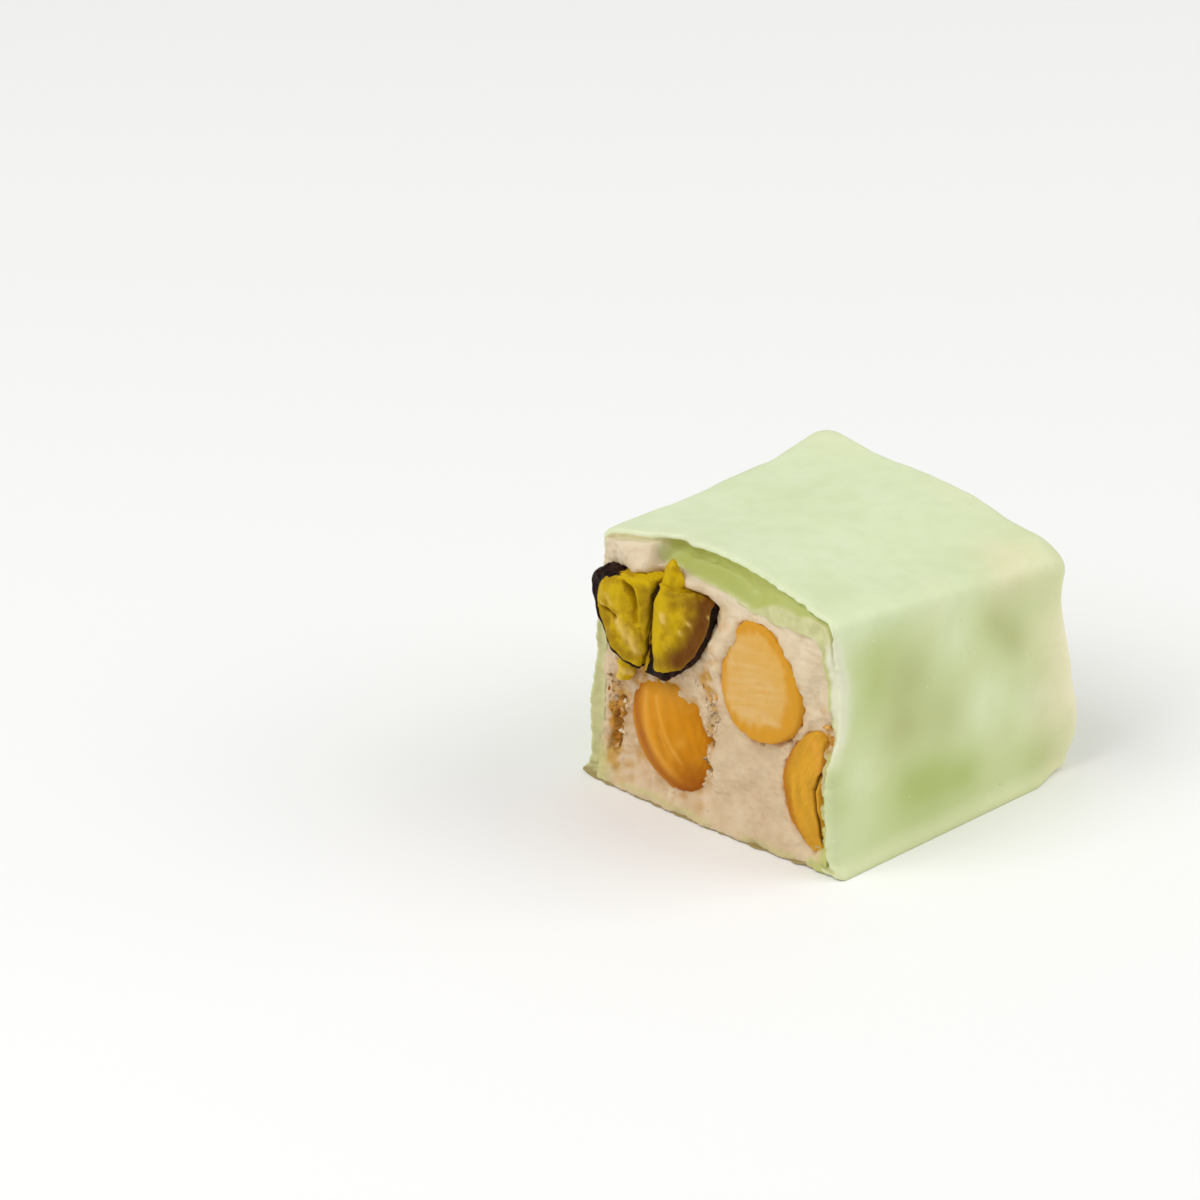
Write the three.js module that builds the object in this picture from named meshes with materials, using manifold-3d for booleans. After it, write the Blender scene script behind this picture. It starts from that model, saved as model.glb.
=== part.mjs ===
// Half of a coated nougat bar, broken across so that the cut shows its nougat, almonds and pistachio.
//
// Frame, in millimetres: +X runs along the bar, from the broken face at -X to the closed end.
// +Y runs across it, +Z is up, and the origin is the middle of the flat base.

import * as THREE from 'three';
import { mergeVertices } from 'three/addons/utils/BufferGeometryUtils.js';
import Module from 'manifold-3d';

const wasm = await Module();
wasm.setup();

// ---------------------------------------------------------------- driving dimensions

const BROKEN_FACE = -11.0;           // the plane of the break, along X
const CLOSED_END = 10.9;             // the closed end, at the middle of the base
const END_SLANT = 0.04;              // it reaches further on the -Y side
const HEIGHT = 17.58;                // base to top, away from the crown
const BACK_HALF_WIDTH = 11.2;        // middle to the +Y side, at the base
const BACK_TAPER = 0.055;            // how far that side leans in for each millimetre up
const FRONT_HALF_WIDTH = 10.8;       // middle to the -Y side, at the base
const FRONT_TAPER = 0.036;
const END_TAPER = 0.014;
const FOOT_REACH = 0.85;             // the coating that ran down and set along the base
const FOOT_HEIGHT = 1.5;

const BASE_EDGE_RADIUS = 0.3;
const END_BASE_EDGE_RADIUS = 0.7;    // where the base meets the closed end
const TOP_EDGE_RADIUS = 0.8;
const WORN_EDGE_RADIUS = 1.4;        // where the top's -Y edge nears the closed end
const UPPER_CORNER_RADIUS = 1.5;     // the closed end's upright corners, at the top
const LOWER_CORNER_RADIUS = 1.25;     // and at the base

const CROWN = 1.2;                   // the top swells this much near the break
const CROWN_LENGTH = 6.5;
const CROWN_HALF_WIDTH = 10.2;
const LOW_CORNER_DROP = 2.5;         // the top sags to the corner at +X, -Y
const SAG_START = 1.0;               // from here, along Y,
const SAG_END = -9.7;                // to here
const HIGH_CORNER_LIFT = 0.72;       // and rises a little at the corner at +X, +Y
const HIGH_CORNER = { x: 10.0, y: 9.8, spread: 3.4 };

const TOP_COAT = 2.0;                // thickness of the coating on each side
const THICK_TOP_COAT = { y: -3.8, thickness: 2.75, spread: 3.0 };   // it ran thicker there
const THIN_TOP_COAT = 0.6;           // over the nougat at the top's +Y edge
const THIN_TOP_COAT_FROM = 5.9;
const THIN_TOP_COAT_FADE = 0.4;
const BACK_COAT = 1.05;
const THIN_BACK_COAT = 0.65;
const FRONT_COAT = 1.0;
const UPPER_FRONT_COAT = 1.25;
const THIN_FRONT_COAT = 0.6;         // where an almond lies against it
const THIN_FRONT_COAT_HEIGHT = 8.4;
const BASE_COAT = 0.35;
const END_COAT = 0.95;
const NOUGAT_EDGE_RADIUS = 0.7;

const GAP = 0.2;                     // clearance between solids that touch

// ---------------------------------------------------------------- small helpers

const lerp = THREE.MathUtils.lerp;
const clamp = THREE.MathUtils.clamp;
const smoothstep = THREE.MathUtils.smoothstep;
const vector = (x, y, z) => new THREE.Vector3(x, y, z);

function bell(distance, spread) {
  return Math.exp(-((distance / spread) ** 2));
}

// The larger of two distances, with the corner between their surfaces rounded to a radius.
function roundedMax(a, b, radius) {
  if (a > -radius && b > -radius) return Math.hypot(a + radius, b + radius) - radius;
  return Math.max(a, b);
}

// ---------------------------------------------------------------- the bar's outer form

// Swellings over the nuts and hollows between them: place, height and spread, on the sides.
const SWELLS = [
  { x: 4.6, y: -10.2, z: 13.2, height: -0.4, spread: 2.6 },
  { x: -6.4, y: -10.4, z: 11.0, height: -0.28, spread: 3.0 },
  { x: -4.8, y: -10.7, z: 4.2, height: -0.22, spread: 2.6 },
  { x: 0.8, y: -10.6, z: 7.0, height: 0.35, spread: 3.2 },
  { x: 7.9, y: -10.4, z: 9.0, height: 0.3, spread: 2.6 },
  { x: 11.2, y: -10.2, z: 4.0, height: 0.9, spread: 2.3 },
  { x: 11.0, y: -10.2, z: 8.2, height: 0.45, spread: 2.9 },
  { x: 11.0, y: -10.0, z: 1.8, height: 0.5, spread: 1.8 },
  { x: 10.8, y: -8.6, z: 14.8, height: 0.65, spread: 2.2 },
  { x: 11.2, y: 3.0, z: 11.0, height: 0.35, spread: 3.4 },
  { x: 11.2, y: -3.5, z: 5.0, height: -0.3, spread: 3.0 },
  { x: -10.5, y: 10.7, z: 5.2, height: 0.3, spread: 1.9 },
  { x: 3.0, y: 10.6, z: 8.0, height: 0.4, spread: 3.6 },
  { x: -4.0, y: 10.4, z: 12.0, height: 0.3, spread: 3.2 },
  { x: -10.0, y: 9.8, z: 17.5, height: 0.22, spread: 5.0 },
  { x: 2.0, y: 2.0, z: 17.4, height: 0.12, spread: 4.5 },
  { x: 6.5, y: 5.5, z: 17.4, height: -0.12, spread: 3.5 },
];

function swell(x, y, z) {
  let total = 0;
  for (const lump of SWELLS) {
    total += lump.height * bell(Math.hypot(x - lump.x, y - lump.y, z - lump.z), lump.spread);
  }
  return total * smoothstep(z, 0.3, 2.2);
}

// 0 along the bar, rising to 1 at the closed end.
function nearEnd(x) {
  return smoothstep(x, 6.5, 10.5);
}

function foot(x, z) {
  return FOOT_REACH * (1 - nearEnd(x)) * clamp(1 - z / FOOT_HEIGHT, 0, 1) ** 2;
}

function backHalfWidth(z) {
  return BACK_HALF_WIDTH - BACK_TAPER * z;
}

function frontHalfWidth(z) {
  return FRONT_HALF_WIDTH - FRONT_TAPER * z;
}

function endReach(y, z) {
  return CLOSED_END - END_TAPER * z - END_SLANT * y;
}

// 0 at the break, rising evenly to 1 at the closed end.
function towardsEnd(x) {
  return clamp((x - BROKEN_FACE) / (CLOSED_END - BROKEN_FACE), 0, 1);
}

function topHeight(x, y) {
  const fromBreak = Math.max(x - BROKEN_FACE, 0);
  const across = clamp(1 - (y / CROWN_HALF_WIDTH) ** 2, 0, 1);
  const crown = CROWN * across * bell(fromBreak, CROWN_LENGTH);
  const towardsFront = clamp((SAG_START - y) / (SAG_START - SAG_END), 0, 1);
  const sag = LOW_CORNER_DROP * towardsEnd(x) ** 1.3 * towardsFront ** 1.6;
  const fromCorner = Math.hypot(x - HIGH_CORNER.x, y - HIGH_CORNER.y);
  return HEIGHT + crown + HIGH_CORNER_LIFT * bell(fromCorner, HIGH_CORNER.spread) - sag;
}

function topEdgeRadius(x, y) {
  return lerp(TOP_EDGE_RADIUS, WORN_EDGE_RADIUS, towardsEnd(x) * smoothstep(-y, 2, 9));
}

// How far a point is outside the coated bar; negative inside it.
function barDistance(x, y, z) {
  const side = Math.max(y - backHalfWidth(z), -y - frontHalfWidth(z)) - foot(x, z);
  const end = x - endReach(y, z);
  const cornerRadius = lerp(LOWER_CORNER_RADIUS, UPPER_CORNER_RADIUS, clamp(z / HEIGHT, 0, 1));
  const plan = roundedMax(side, end, cornerRadius);
  const upper = roundedMax(plan, z - topHeight(x, y), topEdgeRadius(x, y)) - swell(x, y, z);
  return roundedMax(upper, -z, lerp(BASE_EDGE_RADIUS, END_BASE_EDGE_RADIUS, nearEnd(x)));
}

// ---------------------------------------------------------------- the nougat inside

function topCoat(y) {
  const past = y - THIN_TOP_COAT_FROM;
  const thick = bell(y - THICK_TOP_COAT.y, THICK_TOP_COAT.spread);
  const coat = lerp(TOP_COAT, THICK_TOP_COAT.thickness, thick);
  return lerp(coat, THIN_TOP_COAT, smoothstep(past, -THIN_TOP_COAT_FADE, THIN_TOP_COAT_FADE));
}

function backCoat(z) {
  return lerp(BACK_COAT, THIN_BACK_COAT, smoothstep(z, 9, 13));
}

function frontCoat(x, z) {
  const coat = lerp(FRONT_COAT, UPPER_FRONT_COAT, smoothstep(z, 9, 11.5));
  const thin = bell(z - THIN_FRONT_COAT_HEIGHT, 2.2) * bell(x - BROKEN_FACE, 4);
  return lerp(coat, THIN_FRONT_COAT, thin);
}

// How far a point is outside the nougat, which the coating lies against.
function nougatDistance(x, y, z) {
  const side = Math.max(y - backHalfWidth(z) + backCoat(z), -y - frontHalfWidth(z) + frontCoat(x, z));
  const end = x - endReach(y, z) + END_COAT;
  const plan = roundedMax(side, end, 2 * NOUGAT_EDGE_RADIUS);
  const upper = roundedMax(plan, z - topHeight(x, y) + topCoat(y), NOUGAT_EDGE_RADIUS);
  return roundedMax(upper, BASE_COAT - z, BASE_EDGE_RADIUS);
}

// ---------------------------------------------------------------- how the break runs

// Notches in the coating's broken edge: where they lie, how far back they reach and how wide.
const OUTER_NOTCH = { y: 5.0, depth: 0.9, spread: 1.2 };
const OUTER_WEAR = { y: 1.0, depth: 1.45, spread: 7.5 };
const INNER_NOTCH = { y: 5.2, depth: 1.3, spread: 2.2 };
const INNER_WEAR = { y: -3.0, depth: 0.25, spread: 4.0 };
const BACK_NOTCH = { z: 15.6, depth: 0.4, spread: 1.5 };
const FRONT_EDGE_PROUD = 0.45;       // the -Y side's broken edge stands out below
const FRONT_EDGE_DEPTH = 0.7;        // and is broken back above
const FRONT_INNER_DEPTH = 0.45;
const BASE_LIP = 0.35;               // the base stands out past the break by this much,
const BASE_LIP_SWELL = 0.3;          // and by this much more in its middle,
const BASE_LIP_FADE = { from: 9.3, to: 12.0 };   // but not at its +Y corner
const CHUNK_EDGE = 5.7;              // from here to +Y a chunk of nougat stands forward, at the top
const CHUNK_EDGE_FADE = 0.35;
const CHUNK_RECESS = 0.45;           // its share of the notch's depth
const INNER_EDGE_DEPTH = 0.1;

function notch({ depth, spread }, distance) {
  return depth * bell(distance, spread);
}

// How far up the -Y side's edge a point is: 0 where the edge stands out, 1 where it is broken back.
function upFrontEdge(z) {
  return smoothstep(z, 7.0, 10.5);
}

function baseLip(y, z) {
  const fade = (1 - smoothstep(z, 0.5, 2.5)) * (1 - smoothstep(y, BASE_LIP_FADE.from, BASE_LIP_FADE.to));
  return (BASE_LIP + BASE_LIP_SWELL * bell(y, 6)) * fade;
}

// How far the coating's outer edge has broken back behind the plane of the break.
function outerBreak(y, z) {
  const onTop = smoothstep(z, 13.5, 16.5);
  const onFront = smoothstep(-y, 7, 9.5) * (1 - onTop);
  const top = notch(OUTER_NOTCH, y - OUTER_NOTCH.y) + notch(OUTER_WEAR, y - OUTER_WEAR.y);
  const front = lerp(-FRONT_EDGE_PROUD, FRONT_EDGE_DEPTH, upFrontEdge(z));
  const back = notch(BACK_NOTCH, z - BACK_NOTCH.z) * smoothstep(y, 8.8, 9.6);
  return onTop * top + onFront * front + back - baseLip(y, z) * (1 - onFront);
}

// The coating's inner edge, where the nougat starts.
function innerBreak(y, z) {
  const onTop = smoothstep(z, 12.5, 15.5);
  const onFront = smoothstep(-y, 7, 9.2) * (1 - onTop);
  const chunk = smoothstep(y, CHUNK_EDGE - CHUNK_EDGE_FADE, CHUNK_EDGE + CHUNK_EDGE_FADE);
  const top = notch(INNER_NOTCH, y - INNER_NOTCH.y) * lerp(1, CHUNK_RECESS, chunk)
    + notch(INNER_WEAR, y - INNER_WEAR.y);
  return INNER_EDGE_DEPTH + onTop * top + onFront * FRONT_INNER_DEPTH * upFrontEdge(z);
}

const BREAK_HOLLOW = 0.35;           // the coating's broken edge is hollowed by this much
const NOUGAT_SET_BACK = 0.1;         // the nougat's face lies behind the coating's inner edge
const NOUGAT_LUMP = 0.16;
const NOUGAT_RIDGE = { y: -1.2, z: 5.0, depth: -0.35, spread: 2.4 };
const NOUGAT_HOLLOW = { y: 7.9, z: 4.5, depth: 0.35, spread: 2.0 };
const NOUGAT_LIP_SHARE = 0.8;        // how far the nougat follows the base's lip

// The broken face of the nougat: recessed under the top's coating, lumpy elsewhere.
function nougatBreak(y, z) {
  const lumps = NOUGAT_LUMP * Math.sin(1.3 * y + 0.7 * z) * Math.sin(1.1 * z - 0.4 * y + 1.0);
  const ridge = notch(NOUGAT_RIDGE, Math.hypot(y - NOUGAT_RIDGE.y, z - NOUGAT_RIDGE.z));
  const hollow = notch(NOUGAT_HOLLOW, Math.hypot(y - NOUGAT_HOLLOW.y, z - NOUGAT_HOLLOW.z));
  const lip = NOUGAT_LIP_SHARE * baseLip(y, z);
  return innerBreak(y, z) + NOUGAT_SET_BACK + lumps + ridge + hollow - lip;
}

// ---------------------------------------------------------------- meshes made of rings

const SIDE_STEPS = 8;                // along each straight side of a ring
const CORNER_STEPS = 8;              // round each of its corners
const CORE_LOW = { x: 9.5, y: 9.2, z: 1.2 };
const CORE_HIGH = { x: 8.2, y: 7.6, z: 14.2 };

// The directions in which a ring's points are looked for, each from a point of the bar's core.
function ringSeeds() {
  const corners = [
    { y: -CORE_LOW.y, z: CORE_LOW.z, turn: -Math.PI },
    { y: CORE_LOW.y, z: CORE_LOW.z, turn: -Math.PI / 2 },
    { y: CORE_HIGH.y, z: CORE_HIGH.z, turn: 0 },
    { y: -CORE_HIGH.y, z: CORE_HIGH.z, turn: Math.PI / 2 },
  ];
  const seeds = [];
  corners.forEach((corner, index) => {
    for (let step = 0; step <= CORNER_STEPS; step += 1) {
      const angle = corner.turn + (Math.PI / 2) * (step / CORNER_STEPS);
      seeds.push({ y: corner.y, z: corner.z, aside: vector(0, Math.cos(angle), Math.sin(angle)) });
    }
    const next = corners[(index + 1) % corners.length];
    const aside = vector(0, Math.cos(next.turn), Math.sin(next.turn));
    for (let step = 1; step < SIDE_STEPS; step += 1) {
      const part = step / SIDE_STEPS;
      seeds.push({ y: lerp(corner.y, next.y, part), z: lerp(corner.z, next.z, part), aside });
    }
  });
  return seeds;
}

const SEEDS = ringSeeds();
const MIDDLE = { y: 0, z: 8.2 };

function coreEnd(z) {
  return lerp(CORE_LOW.x, CORE_HIGH.x, clamp((z - CORE_LOW.z) / (CORE_HIGH.z - CORE_LOW.z), 0, 1));
}

// Walks from a point inside a form to its surface.
function surfacePoint(distance, from, direction) {
  let inside = 0;
  let outside = 8;
  const point = vector(0, 0, 0);
  for (let halving = 0; halving < 32; halving += 1) {
    const reach = (inside + outside) / 2;
    point.copy(from).addScaledVector(direction, reach);
    if (distance(point.x, point.y, point.z) < 0) inside = reach;
    else outside = reach;
  }
  return point;
}

// The ring on a form's skin at a part of the way from the break to the closed end's rounding.
function ringAlong(distance, recess, part) {
  return SEEDS.map((seed) => {
    const flat = surfacePoint(distance, vector(BROKEN_FACE, seed.y, seed.z), seed.aside);
    const start = BROKEN_FACE + recess(flat.y, flat.z);
    const x = lerp(start, coreEnd(seed.z), part);
    return surfacePoint(distance, vector(x, seed.y, seed.z), seed.aside);
  });
}

// The ring that has turned by an angle from the sides towards the closed end.
function ringRound(distance, angle) {
  return SEEDS.map((seed) => {
    const direction = seed.aside.clone().multiplyScalar(Math.cos(angle));
    direction.x = Math.sin(angle);
    return surfacePoint(distance, vector(coreEnd(seed.z), seed.y, seed.z), direction);
  });
}

// A ring on the closed end itself, shrunk towards its middle.
function ringOnEnd(distance, size) {
  return SEEDS.map((seed) => {
    const y = lerp(MIDDLE.y, seed.y, size);
    const z = lerp(MIDDLE.z, seed.z, size);
    return surfacePoint(distance, vector(coreEnd(z), y, z), vector(1, 0, 0));
  });
}

// All rings of a form from the break to the middle of its closed end.
function skinRings(distance, recess, along, round, onEnd) {
  const rings = along.map((part) => ringAlong(distance, recess, part));
  for (let step = 1; step <= round; step += 1) {
    rings.push(ringRound(distance, (Math.PI / 2) * (step / round)));
  }
  for (let step = onEnd - 1; step > 0; step -= 1) rings.push(ringOnEnd(distance, step / onEnd));
  return rings;
}

function endPole(distance) {
  return surfacePoint(distance, vector(coreEnd(MIDDLE.z), MIDDLE.y, MIDDLE.z), vector(1, 0, 0));
}

// A closed mesh from one pole over all rings to the other pole, with its faces pointing out.
function closedLoft(firstPole, rings, lastPole) {
  const around = rings[0].length;
  const points = [firstPole, ...rings.flat(), lastPole];
  const last = points.length - 1;
  const triangles = [];
  for (let i = 0; i < around; i += 1) {
    const j = (i + 1) % around;
    triangles.push([0, 1 + i, 1 + j]);
    triangles.push([last, last - around + j, last - around + i]);
    for (let ring = 0; ring < rings.length - 1; ring += 1) {
      const near = 1 + ring * around;
      const far = near + around;
      if (points[near + i].distanceTo(points[far + j]) < points[near + j].distanceTo(points[far + i])) {
        triangles.push([near + i, far + i, far + j], [near + i, far + j, near + j]);
      } else {
        triangles.push([near + i, far + i, near + j], [near + j, far + i, far + j]);
      }
    }
  }
  const geometry = new THREE.BufferGeometry();
  geometry.setAttribute('position', new THREE.Float32BufferAttribute(points.flatMap((p) => p.toArray()), 3));
  geometry.setIndex(triangles.flat());
  return facingOut(withoutSlivers(mergeVertices(geometry, 1e-4)));
}

// Drops triangles that lost a corner when equal points were merged.
function withoutSlivers(geometry) {
  const index = [...geometry.index.array];
  const kept = [];
  for (let i = 0; i < index.length; i += 3) {
    const [a, b, c] = index.slice(i, i + 3);
    if (a !== b && b !== c && c !== a) kept.push(a, b, c);
  }
  geometry.setIndex(kept);
  return geometry;
}

function facingOut(geometry) {
  const position = geometry.attributes.position;
  const index = [...geometry.index.array];
  const [a, b, c] = [vector(0, 0, 0), vector(0, 0, 0), vector(0, 0, 0)];
  let volume = 0;
  for (let i = 0; i < index.length; i += 3) {
    a.fromBufferAttribute(position, index[i]);
    b.fromBufferAttribute(position, index[i + 1]);
    c.fromBufferAttribute(position, index[i + 2]);
    volume += a.dot(b.cross(c));
  }
  if (volume < 0) geometry.setIndex(index.reverse());
  return geometry;
}

// ---------------------------------------------------------------- joining and cutting

function toSolid(geometry) {
  const bare = geometry.clone();
  bare.deleteAttribute('normal');
  bare.deleteAttribute('uv');
  const merged = mergeVertices(bare, 1e-5);
  const mesh = new wasm.Mesh({
    numProp: 3,
    vertProperties: Float32Array.from(merged.attributes.position.array),
    triVerts: Uint32Array.from(merged.index.array),
  });
  return new wasm.Manifold(mesh);
}

function toGeometry(solid) {
  const mesh = solid.getMesh();
  const geometry = new THREE.BufferGeometry();
  geometry.setAttribute('position', new THREE.Float32BufferAttribute(mesh.vertProperties, 3));
  geometry.setIndex([...mesh.triVerts]);
  return geometry;
}

// Takes away everything beyond a plane through a point, on the side that its normal points to.
function cutAt(solid, point, normal, moved = 0) {
  const size = 60;
  const block = new THREE.BoxGeometry(size, size, size);
  block.translate(0, 0, size / 2 + moved);
  const turn = new THREE.Quaternion().setFromUnitVectors(vector(0, 0, 1), normal.clone().normalize());
  block.applyQuaternion(turn);
  block.translate(point.x, point.y, point.z);
  return solid.subtract(toSolid(block));
}

// The main piece of a solid, without crumbs that hang on by no more than a point.
function largestPiece(solid) {
  const pieces = toSolid(toGeometry(solid)).decompose();
  return pieces.reduce((best, piece) => (piece.volume() > best.volume() ? piece : best));
}

// ---------------------------------------------------------------- nuts

// A closed egg: rings round its long axis, fuller towards its blunt end and moved out by a margin.
function egg({ centre, along, flat, length, width, thickness, point }, margin, bend = () => 0) {
  const RINGS = 12;
  const SIDES = 18;
  const long = along.clone().normalize();
  const thin = flat.clone().addScaledVector(long, -flat.dot(long)).normalize();
  const wide = vector(0, 0, 0).crossVectors(thin, long);
  const place = (down, turn) => {
    const taper = 1 - point * Math.cos(down);
    const radius = Math.sin(down) * taper;
    const towards = Math.cos(down);
    return centre.clone()
      .addScaledVector(long, towards * (length / 2 + margin))
      .addScaledVector(wide, radius * Math.cos(turn) * (width / 2 + margin) + bend(towards))
      .addScaledVector(thin, radius * Math.sin(turn) * (thickness / 2 + margin));
  };
  const rings = [];
  for (let ring = 1; ring < RINGS; ring += 1) {
    const row = [];
    for (let side = 0; side < SIDES; side += 1) {
      row.push(place((Math.PI * ring) / RINGS, (2 * Math.PI * side) / SIDES));
    }
    rings.push(row);
  }
  return toSolid(closedLoft(place(0, 0), rings, place(Math.PI, 0)));
}

// A whole almond whose pointed end comes down in the break.
function almondLower(margin) {
  return egg({
    centre: vector(-8.9, 4.35, 5.5),
    along: vector(-0.28, -0.45, -0.86),
    flat: vector(-0.9, 0.1, 0.32),
    length: 9.9, width: 7.9, thickness: 5.8, point: 0.16,
  }, margin);
}

// An almond cut across, flush with the nougat.
function almondUpper(margin) {
  const whole = egg({
    centre: vector(-10.2, -3.75, 11.5),
    along: vector(0.05, 0.27, 0.95),
    flat: vector(-1, 0.15, 0),
    length: 8.3, width: 7.0, thickness: 6.4, point: 0.22,
  }, margin);
  return cutAt(whole, vector(-11.15, -3.6, 11.7), vector(-1, 0.02, 0.08), margin);
}

// An almond cut lengthwise beside the coating, bent like a crescent.
function almondEdge(margin) {
  const whole = egg({
    centre: vector(-9.9, -7.5, 5.2),
    along: vector(0, 0.04, 1),
    flat: vector(-1, 0, 0),
    length: 9.1, width: 3.4, thickness: 5.2, point: -0.05,
  }, margin, (towards) => -1.5 * towards ** 2);
  return cutAt(whole, vector(-11.2, -7.7, 5.4), vector(-1, -0.06, 0.02), margin);
}

// A pistachio kernel, widest near its flat top and coming to a point below. It is broken
// across, and split into two halves along a plane that leans a little.
function kernel(margin) {
  const whole = egg({
    centre: vector(-12.0, 4.75, 15.4),
    along: vector(0, 0.06, -1),
    flat: vector(-1, 0.3, 0),
    length: 12.4, width: 9.9, thickness: 9.0, point: 0.13,
  }, margin);
  const flat = cutAt(whole, vector(-11.0, 4.5, 16.15), vector(0.06, 0.03, 1), margin);
  const worn = cutAt(flat, vector(-12.0, 9.1, 15.8), vector(0, 0.8, 0.6), margin);
  return cutAt(worn, vector(-12.0, 0.4, 15.9), vector(0, -0.5, 0.85), margin);
}

const SPLIT_POINT = vector(-12.6, 4.55, 14.0);
const SPLIT_NORMAL = vector(-0.3, 1, 0.21);
const SPLIT_HALF_WIDTH = 0.16;
const LEFT_RIDGE = vector(-12.9, 7.0, 14.0);
const RIGHT_RIDGE = vector(-12.15, 3.4, 14.0);

function pistachioLeft(margin) {
  const half = cutAt(kernel(margin), SPLIT_POINT, SPLIT_NORMAL.clone().negate(), margin - SPLIT_HALF_WIDTH);
  const outerSide = cutAt(half, LEFT_RIDGE, vector(-1, 0.12, -0.05), margin);
  return cutAt(outerSide, LEFT_RIDGE, vector(-1, -0.4, -0.12), margin);
}

function pistachioRight(margin) {
  const spike = egg({
    centre: vector(-11.3, 3.2, 15.9),
    along: vector(-0.1, 0.12, 1),
    flat: vector(-1, 0, 0),
    length: 4.2, width: 1.8, thickness: 1.3, point: 0.2,
  }, margin);
  const whole = kernel(margin).add(spike);
  const half = cutAt(whole, SPLIT_POINT, SPLIT_NORMAL, margin - SPLIT_HALF_WIDTH);
  const innerSide = cutAt(half, RIGHT_RIDGE, vector(-1, 0.1, -0.05), margin);
  return cutAt(innerSide, RIGHT_RIDGE, vector(-1, -0.22, -0.1), margin);
}

function pistachioChip(margin) {
  return egg({
    centre: vector(-11.1, 7.8, 8.7),
    along: vector(0, 0.25, -1),
    flat: vector(-1, 0, 0),
    length: 2.1, width: 1.4, thickness: 1.3, point: 0.1,
  }, margin);
}

function almondSliver(margin) {
  return egg({
    centre: vector(-10.5, 8.85, 4.4),
    along: vector(0, -0.1, 1),
    flat: vector(-1, 0, 0),
    length: 4.6, width: 0.9, thickness: 1.6, point: 0,
  }, margin);
}

// ---------------------------------------------------------------- coating and nougat

// Parts of the way along the bar, from the break, at which its skin has a ring.
const OUTER_STATIONS = [0, 0.03, 0.08, 0.15, 0.24, 0.34, 0.45, 0.56, 0.67, 0.77, 0.86, 0.93, 1];
const INNER_STATIONS = [0, 0.12, 0.3, 0.5, 0.75, 1];
const OUTER_ROUND_STEPS = 8;         // rings round the closed end's edge
const OUTER_END_STEPS = 4;           // rings on the closed end itself
const INNER_ROUND_STEPS = 4;
const INNER_END_STEPS = 2;
const BREAK_STEPS = [0.2, 0.5, 0.8]; // rings between the outer and inner broken edges
const FACE_STEPS = [0.92, 0.8, 0.64, 0.48, 0.32, 0.16];

function innerRings(distance, recess) {
  return skinRings(distance, recess, INNER_STATIONS, INNER_ROUND_STEPS, INNER_END_STEPS);
}

function coating() {
  const outer = skinRings(barDistance, outerBreak, OUTER_STATIONS, OUTER_ROUND_STEPS, OUTER_END_STEPS);
  const inner = innerRings(nougatDistance, innerBreak);
  const broken = BREAK_STEPS.map((part) => outer[0].map((edge, i) => {
    const point = edge.clone().lerp(inner[0][i], part);
    point.x += BREAK_HOLLOW * Math.sin(Math.PI * part) * smoothstep(point.z, 12, 15);
    return point;
  }));
  const rings = [...outer.reverse(), ...broken, ...inner];
  return closedLoft(endPole(barDistance), rings, endPole(nougatDistance));
}

function nougatBody() {
  const distance = (x, y, z) => nougatDistance(x, y, z) + GAP;
  const skin = innerRings(distance, nougatBreak);
  const onFace = (y, z) => vector(BROKEN_FACE + nougatBreak(y, z), y, z);
  const face = FACE_STEPS.map((size) => skin[0].map((edge) => (
    onFace(lerp(MIDDLE.y, edge.y, size), lerp(MIDDLE.z, edge.z, size))
  )));
  return toSolid(closedLoft(onFace(MIDDLE.y, MIDDLE.z), [...face.reverse(), ...skin], endPole(distance)));
}

// ---------------------------------------------------------------- the scene graph

const COLOURS = {
  coating: 0xd3dfb0,
  nougat: 0xdcc6a4,
  almond: 0xcc8a2a,
  cutAlmond: 0xdcae6a,
  pistachio: 0xa79018,
};

function material(color, roughness) {
  return new THREE.MeshStandardMaterial({ color, roughness, metalness: 0 });
}

function piece(name, geometry, look) {
  const mesh = new THREE.Mesh(geometry, look);
  mesh.name = name;
  return mesh;
}

const NUTS = [
  { name: 'pistachio_left', shape: pistachioLeft, look: material(COLOURS.pistachio, 0.5) },
  { name: 'pistachio_right', shape: pistachioRight, look: material(COLOURS.pistachio, 0.5) },
  { name: 'pistachio_chip', shape: pistachioChip, look: material(COLOURS.pistachio, 0.6) },
  { name: 'almond_lower', shape: almondLower, look: material(COLOURS.almond, 0.4) },
  { name: 'almond_upper', shape: almondUpper, look: material(COLOURS.cutAlmond, 0.5) },
  { name: 'almond_edge', shape: almondEdge, look: material(COLOURS.almond, 0.45) },
  { name: 'almond_sliver', shape: almondSliver, look: material(COLOURS.almond, 0.6) },
];

const bar = new THREE.Group();
bar.add(piece('coating', coating(), material(COLOURS.coating, 0.45)));

let nougat = nougatBody();
for (const nut of NUTS) {
  bar.add(piece(nut.name, toGeometry(nut.shape(0)), nut.look));
  nougat = nougat.subtract(nut.shape(GAP));
}
bar.add(piece('nougat', toGeometry(largestPiece(nougat)), material(COLOURS.nougat, 0.8)));

export default bar;
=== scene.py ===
"""Half of a coated nougat bar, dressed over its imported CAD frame.

Lengths are in millimetres until a mesh is made, and places are in the CAD's frame: +X runs along
the bar from the broken face at -X to the closed end, +Y across it, +Z up, and the origin is the
middle of the flat base.
"""

import math

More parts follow.
